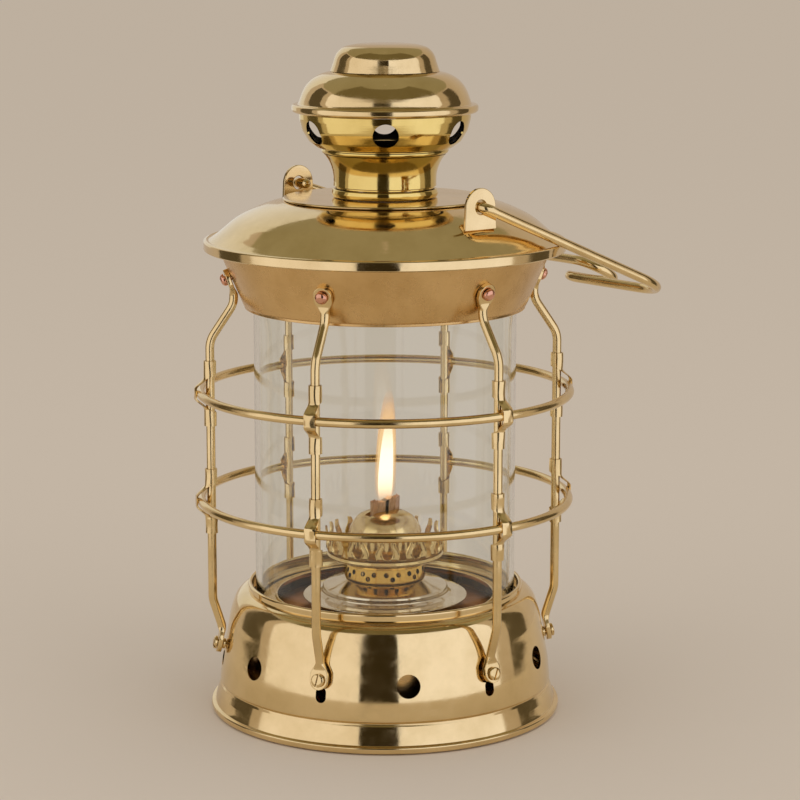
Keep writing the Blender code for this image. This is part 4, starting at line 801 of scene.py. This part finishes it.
# Burner basket: a cup of thin brass with two rows of small holes, soldered on the plate's tube. It
# lets air up to the flame.
basket_foot = foot_of("burner_basket")
burner_brass = polished_metal("burner_brass", (0.93, 0.62, 0.17), (0.68, 0.40, 0.08), tarnish=0.7,
                              roughness=(0.1, 0.26), rings=0.08, waves=1.5, wave_scale=60)
basket_outline = [
    (0, 0, 0), (18.0, 0, 0.4), (18.6, 0.6, 0.5), (17.5, 6.4, 0.4), (17.7, 6.9, 0.3), (18.0, 7.4, 0.3),
    (18.0, 8.2, 0.2), (17.4, 8.2, 0.2), (17.2, 7.2, 0.1), (14.6, 6.9, 0.1), (14.6, 6.3, 0.1),
    (16.9, 6.3, 0.1), (17.9, 0.6, 0.2), (0, 0.6, 0)]
basket_hole, basket_wall_middle = 1.15 * mm, 18.1 * mm
basket_tools = [slot_block(2.5 * mm, 8.9 * mm, basket_foot - 1 * mm, 3 * mm)]
for height, count, first in ((4.3 * mm, 20, 0.0), (2.3 * mm, 10, math.radians(9))):
    hole_middle = Vector((basket_wall_middle, 0, basket_foot + height))
    hole = bore(hole_middle, Vector((1, 0, 0)), 1.9 * mm, basket_hole, sides=24)
    basket_tools += turned_copies(hole, count, first)


def basket_inside(radius, height, outward, upward):
    """The faces inside the cup, between its bottom and its ledge."""
    low, high = basket_foot + 0.65 * mm, basket_foot + 6.35 * mm
    return (outward < 0.5) & (upward < 0.9) & (height > low) & (height < high)


basket_mesh = cut(spun(basket_outline, basket_foot, segments=small_segments, closed=False), basket_tools)
basket = add_piece("air_basket", basket_mesh, burner_brass, "font", "burner_basket")
second_finish(basket, soot, basket_inside)


# Gallery: a crown of thin brass round the deflector. Bent strips with a raised hem stand in pairs
# round vase-shaped openings, and each ends in a small forked horn that would hold a chimney.
gallery_turn, vase_count = math.radians(24.5), 12
gallery_radius, gallery_wall, hem_height, hem_width = 26.7 * mm, 0.55 * mm, 0.4 * mm, 0.9 * mm
strip_foot = 73.1
bead_line = rounded(np.array([(17.4, 69.0, 0.1), (24.0, 69.2, 3), (26.7, 70.6, 1.3), (26.1, 72.0, 1.0),
                              (26.4, strip_foot, 0)]) * mm)
vase = curved([(strip_foot, 0), (73.7, 0.8), (74.6, 1.7), (76.2, 2.35), (77.6, 2.1), (78.8, 1.55),
               (80.0, 1.2), (81.2, 1.25), (82.3, 1.6), (83.2, 2.1)]) * mm
strip_edge = curved([(strip_foot, 5.2), (74.6, 5.6), (76.4, 5.65), (78.0, 5.1), (79.5, 4.2), (81.0, 3.7),
                     (82.2, 3.6), (83.2, 3.9)]) * mm
strip_share, gap_share = np.linspace(0, 1, 18), np.linspace(0, 1, 9)[1:]
tip_line = np.interp(strip_share, [0, 0.2, 0.5, 0.8, 1], [82.3, 83.2, 82.2, 83.2, 82.4]) * mm
row_share = np.linspace(0, 1, 40)[1:, None]
bead_rows, columns = len(bead_line), len(strip_share)
bead_radius, bead_height = bead_line[:, :1], bead_line[:, 1:]
height = np.vstack([np.repeat(bead_height, columns, axis=1),
                    bead_height[-1] + (tip_line - bead_height[-1]) * row_share])
lean = np.array([(strip_foot, 26.4), (74.0, 26.6), (80.0, 26.7), (83.2, 27.1)]) * mm
radius = np.vstack([np.repeat(bead_radius, columns, axis=1), np.interp(height[bead_rows:], *lean.T)])
vase_half, edge_half = np.interp(height, *vase[:, :2].T), np.interp(height, *strip_edge[:, :2].T)
aside = vase_half + (edge_half - vase_half) * strip_share
hem = np.minimum(aside - vase_half, edge_half - aside) / hem_width
hem = hem_height * np.sin(math.pi * np.clip(hem, 0, 1)) * eased(height, 73.2 * mm, 74.0 * mm)
along = unit(np.gradient(bead_line, axis=0))
inward = np.column_stack([-along[:, 1], along[:, 0]]) * gallery_wall
inward = np.vstack([inward, np.tile((-gallery_wall, 0.0), (len(height) - bead_rows, 1))])[:, None]
half_pitch = gallery_radius * math.pi / vase_count
gap_aside = edge_half[0, 0] + (half_pitch - edge_half[0, 0]) * gap_share + 0 * bead_radius


def crown_points(aside, radius, height):
    """Points at a distance aside round the crown: x = r cos a, y = r sin a, a = aside / gallery radius."""
    angle = aside / gallery_radius
    points = np.stack([radius * np.cos(angle), radius * np.sin(angle), height + 0 * angle], axis=-1)
    return points.reshape(-1, 3)


outside = np.arange(height.size).reshape(height.shape)
inside = outside + height.size
gap_outside = np.arange(gap_aside.size).reshape(gap_aside.shape) + 2 * height.size
foot_outside = np.column_stack([outside[:bead_rows, -1], gap_outside])
foot_inside = np.column_stack([inside[:bead_rows, -1], gap_outside + gap_aside.size])
open_rows = slice(bead_rows - 1, None)
edges = [(outside[0], inside[0]), (foot_outside[0], foot_inside[0]), (outside[-1], inside[-1]),
         (foot_outside[-1], foot_inside[-1]), (outside[open_rows, 0], inside[open_rows, 0]),
         (outside[open_rows, -1], inside[open_rows, -1])]
sheets = [outside, inside, foot_outside, foot_inside, *map(np.stack, edges)]
crown_faces = np.vstack([grid_faces(sheet) for sheet in sheets]).tolist()
crown_parts = []
for mirror in (1, -1):
    half = bpy.data.meshes.new("half_strip")
    points = np.vstack([
        crown_points(mirror * aside, radius + hem, height),
        crown_points(mirror * aside, radius + inward[..., 0], height + inward[..., 1]),
        crown_points(mirror * gap_aside, bead_radius, bead_height),
        crown_points(mirror * gap_aside, bead_radius + inward[:bead_rows, :, 0],
                     bead_height + inward[:bead_rows, :, 1])])
    half.from_pydata(points.tolist(), [], crown_faces)
    crown_parts += turned_copies(half, vase_count, gallery_turn)
pale_brass = polished_metal("pale_burner_brass", (0.90, 0.71, 0.36), (0.68, 0.49, 0.19), tarnish=0.7,
                            roughness=(0.14, 0.3), rings=0.1, waves=2.5, wave_scale=80)
add_piece("gallery_crown", joined(crown_parts), pale_brass, "font", "burner_gallery")


# Deflector: the dome that gathers air at the wick, with a slot for the flame. It rests on a ledge in
# the basket.
deflector_outline = [
    *curved([(17.1, 67.3), (17.0, 72.0), (16.9, 76.0), (16.6, 80.5), (15.2, 84.8), (12.2, 88.5), (7.0, 90.6),
             (2.5, 90.84)]),
    (0, 90.86, 0)]
deflector_mesh = spun(deflector_outline, wall=0.5 * mm, segments=144, closed=False)
deflector_mesh = cut(deflector_mesh, [slot_block(2.3 * mm, 10.2 * mm, 83 * mm, 12 * mm)])
add_piece("deflector_dome", deflector_mesh, pale_brass, "font", "flame_deflector")


# Wick tube: a flat sleeve of thin brass, soldered into the basket's bottom. It leads the wick up
# through the burner.
keep_node("wick_tube", burner_brass)


# Wick raiser: a brass spindle with two toothed wheels that bite the wick, and a milled brass knob
# pressed on its end.
keep_node("wick_spindle", burner_brass)
knob_low, knob_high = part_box("wick_knob")
knob_middle = (knob_low + knob_high) / 2
knob_width, knob_radius, knob_bore, knob_edge = knob_high.y - knob_low.y, 4.2 * mm, 1.3 * mm, 0.3 * mm
knob_line = rounded([
    (knob_bore, 0, 0.1 * mm), (knob_radius - knob_edge, 0, 0.3 * mm), (knob_radius, 0.5 * mm, 0.2 * mm),
    (knob_radius, knob_width - 0.5 * mm, 0.2 * mm), (knob_radius - knob_edge, knob_width, 0.3 * mm),
    (knob_bore, knob_width, 0.1 * mm)], closed=True)
tooth_count, tooth_share = 24, 0.06
turn = np.arange(144) * math.tau / 144
milled = np.where(knob_line[:, :1] > 3.7 * mm, 1 - tooth_share * (np.sin(turn * tooth_count) > 0), 1)
knob_grid = np.stack([knob_line[:, :1] * milled * np.cos(turn), knob_line[:, 1:] + 0 * turn,
                      knob_line[:, :1] * milled * np.sin(turn)], axis=-1)
knob_grid += (knob_middle.x, knob_low.y, knob_middle.z)
add_piece("milled_knob", grid_mesh(knob_grid, rows_meet=True), burner_brass, "wick_raiser", "wick_knob")


# Wick: a flat strip of woven cotton, pushed up through its tube. The top has split into two frayed
# tufts with a charred gap.
def add_ramp(tree, value, stops):
    """A colour ramp over a value. The stops are pairs of place and colour."""
    ramp = add_node(tree, "ValToRGB", {"Fac": value})
    elements = ramp.color_ramp.elements
    elements[0].position, elements[1].position = stops[0][0], stops[-1][0]
    for place, color in stops[1:-1]:
        elements.new(place)
    for element, (place, color) in zip(elements, stops):
        element.color = (*color, 1)
    return ramp


cotton, tree = new_paint("cotton_wick")
place = add_node(tree, "TexCoord").outputs["Object"]
strand_place = add_node(tree, "Mapping", {"Vector": place, "Scale": (2200, 2200, 380)})
strands = add_node(tree, "TexNoise", {"Vector": strand_place.outputs["Vector"], "Scale": 1, "Detail": 3,
                                      "Roughness": 0.6})
strand_color = add_ramp(tree, strands.outputs["Fac"], ((0.3, (0.70, 0.36, 0.17)), (0.62, (1.0, 0.66, 0.38))))
parts = add_node(tree, "SeparateXYZ", {"Vector": place})
off_middle = add_node(tree, "Math", {0: parts.outputs["Y"]}, operation="ABSOLUTE")
charred = add_node(tree, "MapRange", {"Value": off_middle.outputs["Value"], "From Min": 0.6 * mm,
                                      "From Max": 1.2 * mm, "To Min": 1, "To Max": 0})
color = add_node(tree, "Mix", {"Factor": charred.outputs["Result"], 6: strand_color.outputs["Color"],
                               7: (0.012, 0.010, 0.009, 1)}, data_type="RGBA")
bump = add_node(tree, "Bump", {"Height": strands.outputs["Fac"], "Distance": 0.4 * mm})
shade(tree, {"Roughness": 0.95, "Sheen Weight": 0.3, "Base Color": color.outputs[2],
             "Normal": bump.outputs["Normal"]})

fray = np.random.default_rng(7)
wick_low, wick_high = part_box("wick")
wick_columns, wick_square = 120, 0.35
turn = (np.arange(wick_columns) + 0.5) * math.tau / wick_columns
wick_rise = np.r_[0, np.linspace(0.02, 0.9, 12), np.linspace(0.91, 1, 26)][:, None]
half_wide, half_thick = (wick_high.y - wick_low.y) / 2, (wick_high.x - wick_low.x) / 2
wick_x, wick_y = (np.sign(wave) * np.abs(wave) ** wick_square * half
                  for wave, half in ((np.sin(turn), half_thick), (np.cos(turn), half_wide)))
rib_rate, rib_depth, fuzz = 26, 0.10, 0.05
tuft_start, tuft_spread, split_half, split_depth = 0.93, 0.35, 1.1 * mm, 3.6 * mm
strand = 1 + rib_depth * np.cos(wick_y / half_wide * rib_rate) + fuzz * fray.standard_normal(wick_columns)
top_share = eased(wick_rise, tuft_start, 1.0)
split = np.exp(-(wick_y / split_half) ** 2)
ragged = 0.5 * mm * fray.standard_normal(wick_columns) + 0.6 * mm * np.sign(wick_y)
height = wick_low.z + (wick_high.z - wick_low.z) * wick_rise + top_share * (ragged - split_depth * split)
wick_grid = np.stack([wick_x * strand * (1 + tuft_spread * top_share),
                      wick_y * (1 - 0.02 * top_share), height], axis=-1)
wick_grid[0] *= (0, 0, 1)
wick_closing = wick_grid[-1:] * (0, 1, 1) - (0, 0, 0.3 * mm)
wick_closing = (wick_closing + wick_closing[:, ::-1]) / 2
add_piece("cotton_strip", grid_mesh(np.concatenate([wick_grid, wick_closing])), cotton, "wick", "wick",
          slot="cotton_wick")


# Flame: three nested shells of glowing gas, orange outside and cream inside, clear at the root. It
# stands on the wick and moves with it.
flame_foot, flame_top = 95.5 * mm, 147 * mm
flame_half_x, flame_half_y = 3.5 * mm, 5.4 * mm
flame_shift_x, flame_shift_y = 1.0 * mm, 1.6 * mm
no_glow = {"Base Color": (0, 0, 0, 1), "Specular IOR Level": 0}


def flame_paint(name, colors, strength, alpha, shares):
    """A glow whose alpha follows the height: shares holds (share of the height, share of alpha)."""
    paint, tree = new_paint(name)
    place = add_node(tree, "TexCoord")
    parts = add_node(tree, "SeparateXYZ", {"Vector": place.outputs["Object"]})
    share = add_node(tree, "MapRange", {"Value": parts.outputs["Z"], "From Min": flame_foot,
                                        "From Max": flame_top}).outputs["Result"]
    glow = add_ramp(tree, share, list(zip((0.05, 0.45, 0.95), colors)))
    clear = add_ramp(tree, share, [(spot, (value * alpha,) * 3) for spot, value in shares])
    shade(tree, {**no_glow, "Emission Strength": strength, "Emission Color": glow.outputs["Color"],
                 "Alpha": clear.outputs["Color"]})
    return paint


flame_layers = {
    "flame_core": (0.70, 0.74, flame_paint(
        "flame_cream", ((1.0, 0.70, 0.42), (0.97, 0.97, 0.92), (1.0, 0.82, 0.50)), 2.4, 0.92,
        ((0.02, 0.05), (0.12, 0.45), (0.28, 1.0), (0.5, 0.85), (0.74, 0.0)))),
    "flame_body": (0.86, 0.90, flame_paint(
        "flame_yellow", ((1.0, 0.58, 0.28), (1.0, 0.76, 0.38), (1.0, 0.56, 0.22)), 1.1, 0.5,
        ((0.02, 0.1), (0.3, 0.7), (0.5, 1.0), (0.75, 0.6), (0.9, 0.0)))),
    "flame_veil": (1.0, 1.0, flame_paint(
        "flame_orange", ((1.0, 0.52, 0.24), (1.0, 0.56, 0.20), (1.0, 0.48, 0.18)), 0.95, 0.4,
        ((0.02, 0.1), (0.3, 0.6), (0.6, 1.0), (0.85, 0.5), (1.0, 0.0)))),
}
share = (1 - np.cos(np.linspace(0, math.pi, 61)))[:, None] / 2
swell = share ** 0.15 * (1 - share) ** 0.45
lean = share ** 1.5
turn = np.arange(48) * math.tau / 48
for name, (width, length, paint) in flame_layers.items():
    wide = swell / swell.max() * width
    flame_grid = np.stack([wide * flame_half_x * np.cos(turn) + flame_shift_x * lean,
                           wide * flame_half_y * np.sin(turn) + flame_shift_y * lean,
                           flame_foot + (flame_top - flame_foot) * length * share + 0 * turn], axis=-1)
    add_piece(name, grid_mesh(flame_grid), paint, "wick", slot="cotton_wick")


# Studio: a pale floor, a pale surround and two soft boxes in front. Curved cards, seen only in
# reflections, give the polished brass its bright panels and its dark bands.
view_azimuth, view_drop = math.radians(52), math.radians(10.55)
toward_camera = np.array([math.sin(view_azimuth), -math.cos(view_azimuth)])
toward_right = np.array([math.cos(view_azimuth), math.sin(view_azimuth)])


def studio_place(bearing, distance, height):
    """A point at a bearing from the camera's side, in degrees and positive to the right."""
    turn = math.radians(bearing)
    flat = (toward_camera * math.cos(turn) + toward_right * math.sin(turn)) * distance
    return Vector((*flat, height))


floor_paint, tree = new_paint("pale_floor")
shade(tree, {"Base Color": (0.80, 0.695, 0.58, 1), "Roughness": 0.9, "Specular IOR Level": 0})
floor_height = cad_bounds[0].z - 0.4 * mm
table_radius, floor_radius = 0.45, 12.0
for name, reaches in (("floor_near", (0.0, table_radius)), ("floor_far", (table_radius, floor_radius))):
    floor_line = np.column_stack([np.linspace(*reaches, 9), np.full(9, floor_height)])
    floor = placed(name, turned(floor_line, 96, closed=False))
    floor.data.flip_normals()
    floor.data.materials.append(floor_paint)
    floor.visible_glossy = name == "floor_near"

world = bpy.data.worlds.new("studio")
bpy.context.scene.world = world
world.use_nodes = True
tree = world.node_tree
tree.nodes.clear()
rays = add_node(tree, "LightPath").outputs
mirrored = add_node(tree, "Math", {0: rays["Is Camera Ray"], 1: rays["Is Glossy Ray"]}, operation="MAXIMUM")
seen = add_node(tree, "Math", {0: mirrored.outputs["Value"], 1: rays["Is Transmission Ray"]},
                operation="MAXIMUM")
surround = add_node(tree, "Background", {"Color": (0.515, 0.434, 0.361, 1), "Strength": 1.0})
fill = add_node(tree, "Background", {"Color": (1.0, 0.97, 0.93, 1), "Strength": 0.64})
shown = add_node(tree, "MixShader", {0: seen.outputs["Value"], 1: fill.outputs["Background"],
                                     2: surround.outputs["Background"]})
add_node(tree, "OutputWorld", {"Surface": shown.outputs["Shader"]})


def soft_box(name, bearing, glow, distance=2.2, height=1.15, width=1.9, tall=1.6, aim=0.15):
    """A rectangular lamp left out of reflections: its power is glow times pi times its area."""
    light = bpy.data.lights.new(name, "AREA")
    light.shape, light.size, light.size_y = "RECTANGLE", width, tall
    light.energy = glow * math.pi * width * tall
    light.color = (0.95, 0.97, 1.0)
    lamp = placed(name, light)
    lamp.location = studio_place(bearing, distance, height)
    lamp.rotation_euler = (Vector((0, 0, aim)) - lamp.location).to_track_quat("-Z", "Y").to_euler()
    lamp.visible_camera = lamp.visible_glossy = False


soft_box("soft_box_left", -53.5, 0.55)
soft_box("soft_box_right", 46.5, 0.6)


def card(name, bearings, elevations, distance, glow):
    """A curved card, seen only in reflections: part of a sphere round the lamp, with an even glow."""
    bearing = np.radians(np.linspace(*bearings, 33))
    elevation = np.radians(np.linspace(*elevations, 17))[:, None]
    flat = toward_camera[:, None, None] * np.cos(bearing) + toward_right[:, None, None] * np.sin(bearing)
    x, y = flat * np.cos(elevation) * distance
    grid = np.stack([x, y, 0.2 + np.sin(elevation) * distance + 0 * x], axis=-1)
    piece = placed(name, grid_mesh(grid, columns_meet=False))
    paint, tree = new_paint(name)
    shade(tree, {**no_glow, "Emission Color": (*glow, 1), "Emission Strength": 1})
    piece.data.materials.append(paint)
    piece.visible_camera = piece.visible_diffuse = piece.visible_transmission = piece.visible_shadow = False


card("panel_left", (-90, -16), (-36, 37), 1.75, (0.95, 0.90, 0.93))
card("panel_right", (8, 85), (-36, 37), 1.75, (1.04, 1.03, 1.15))
card("card_front", (-17, 9), (-40, 36), 1.5, (0.035, 0.026, 0.012))
card("card_right", (100, 124), (-30, 36), 1.9, (0.10, 0.08, 0.05))
card("card_left", (-126, -100), (-30, 36), 1.9, (0.10, 0.08, 0.05))
card("card_back", (-172, -140), (-5, 40), 1.9, (0.75, 0.73, 0.70))
card("card_above", (-85, 85), (37, 72), 1.6, (0.17, 0.14, 0.07))
card("card_ceiling", (-180, 180), (38, 89), 2.2, (0.32, 0.285, 0.185))

camera_distance, camera_height = 1.169, 0.3595
camera = bpy.data.cameras.new("camera")
camera.lens, camera.sensor_width = 118, 36
camera.shift_x = 0.01875
camera.clip_start, camera.clip_end = 0.01, 100
camera_object = placed("camera", camera)
camera_object.location = studio_place(0, camera_distance, camera_height)
camera_object.rotation_euler = (math.pi / 2 - view_drop, 0, view_azimuth)
bpy.context.scene.camera = camera_object
bpy.context.scene.view_settings.view_transform = "Standard"
